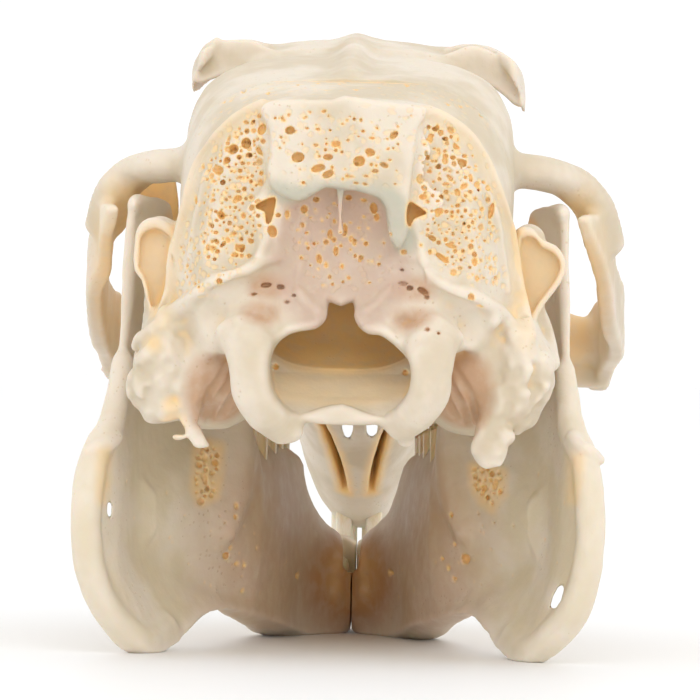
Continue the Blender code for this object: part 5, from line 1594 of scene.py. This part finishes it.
def makeBone(name, ivory, roughness):
    material, tree, shader = newMaterial(name, bone["shader"])
    values = {"Vector": putNode(tree, "ShaderNodeTexCoord").outputs["Object"]}
    for key in ("Porous", "Hollow", "Crease", "Amber", "Rose", "Grey", "Brown"):
        values[key] = painted(tree, key.lower())
    for group in groups:
        node = putNode(tree, "ShaderNodeGroup", node_tree=group)
        for socket in node.inputs:
            if socket.name in values:
                tree.links.new(values[socket.name], socket)
            else:
                socket.default_value = linear(ivory)
        values.update(node.outputs.items())
    tree.links.new(values["Colour"], shader["Base Color"])
    tree.links.new(values["Normal"], shader["Normal"])
    ends = {"Value": values["Fine"], "To Min": roughness - 0.12, "To Max": roughness + 0.12}
    tree.links.new(putNode(tree, "ShaderNodeMapRange", ends).outputs[0], shader["Roughness"])
    return material


# Tooth enamel: sRGB colours at the neck and at the tip, and fine streaks along the tooth.
enamel = {
    "front": ((226, 200, 152), (242, 234, 216)),
    "cheek": ((214, 176, 116), (230, 206, 158)),
    "streak": (214, 190, 140),
    "streakSize": 0.25,
    "streakStretch": (1.0, 1.0, 0.12),
    "shader": {"Subsurface Weight": 0.4, "Subsurface Scale": 0.0006, "Coat Weight": 0.2},
}


def makeEnamel(kind):
    material, tree, shader = newMaterial(f"{kind}_enamel", enamel["shader"])
    vector = putNode(tree, "ShaderNodeTexCoord").outputs["Object"]
    streaks = putNode(tree, "ShaderNodeVectorMath", {0: vector, 1: enamel["streakStretch"]}, operation="MULTIPLY")
    lines = noise(tree, streaks.outputs[0], enamel["streakSize"], 2.0)
    neck, tip = enamel[kind]
    colour = mixColour(tree, ramp(tree, painted(tree, "along"), 0.2, 0.8), linear(neck), linear(tip))
    colour = mixColour(tree, ramp(tree, lines, 0.45, 0.75, 0.35), colour, linear(enamel["streak"]))
    tree.links.new(colour, shader["Base Color"])
    rough = putNode(tree, "ShaderNodeMapRange", {"Value": lines, "To Min": 0.18, "To Max": 0.42})
    tree.links.new(rough.outputs[0], shader["Roughness"])
    bump = putNode(tree, "ShaderNodeBump", {"Height": lines, "Strength": 0.4, "Distance": 0.00003})
    tree.links.new(bump.outputs[0], shader["Normal"])
    return material


# Floor and light.
studio = {
    "floor": (0.95, 0.95, 0.95, 1.0),
    "sky": 1.05,
    "lampPlace": (0.12, -0.75, 0.5),
    "lampSize": 0.7,
    "lampPower": 2.0,
}


def makeStage():
    bpy.ops.mesh.primitive_plane_add(size=12.0)
    floor = bpy.context.object
    floor.name = "floor"
    material = bpy.data.materials.new("pale_floor")
    material.use_nodes = True
    material.node_tree.nodes["Principled BSDF"].inputs["Base Color"].default_value = studio["floor"]
    floor.data.materials.append(material)
    world = bpy.data.worlds.new("studio")
    world.use_nodes = True
    world.node_tree.nodes["Background"].inputs["Color"].default_value = (1.0, 1.0, 1.0, 1.0)
    world.node_tree.nodes["Background"].inputs["Strength"].default_value = studio["sky"]
    bpy.context.scene.world = world
    lamp = bpy.data.lights.new("softbox", "AREA")
    lamp.size = studio["lampSize"]
    lamp.energy = studio["lampPower"]
    item = bpy.data.objects.new("softbox", lamp)
    item.location = studio["lampPlace"]
    item.rotation_euler = (-Vector(studio["lampPlace"])).to_track_quat("-Z", "Y").to_euler()
    bpy.context.scene.collection.objects.link(item)
    bpy.context.scene.view_settings.view_transform = "Standard"


def dress(item, material, node):
    item.data.materials.append(material)
    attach(item, "root")
    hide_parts(node)


makeCamera()
makeStage()
groups = (patchGroup(), poreGroup(), reliefGroup(), shadeAndStainGroup())
skullBone = makeBone("skull_bone", bone["ivory"], 0.55)
jawBone = makeBone("jaw_bone", bone["jawIvory"], 0.5)
makeTeeth()
say("teeth")
for item in makeCranium():
    dress(item, skullBone, "cranium")
for side, word in ((-1, "left"), (1, "right")):
    dress(makeJaw(side, word), jawBone, f"mandible_{word}")
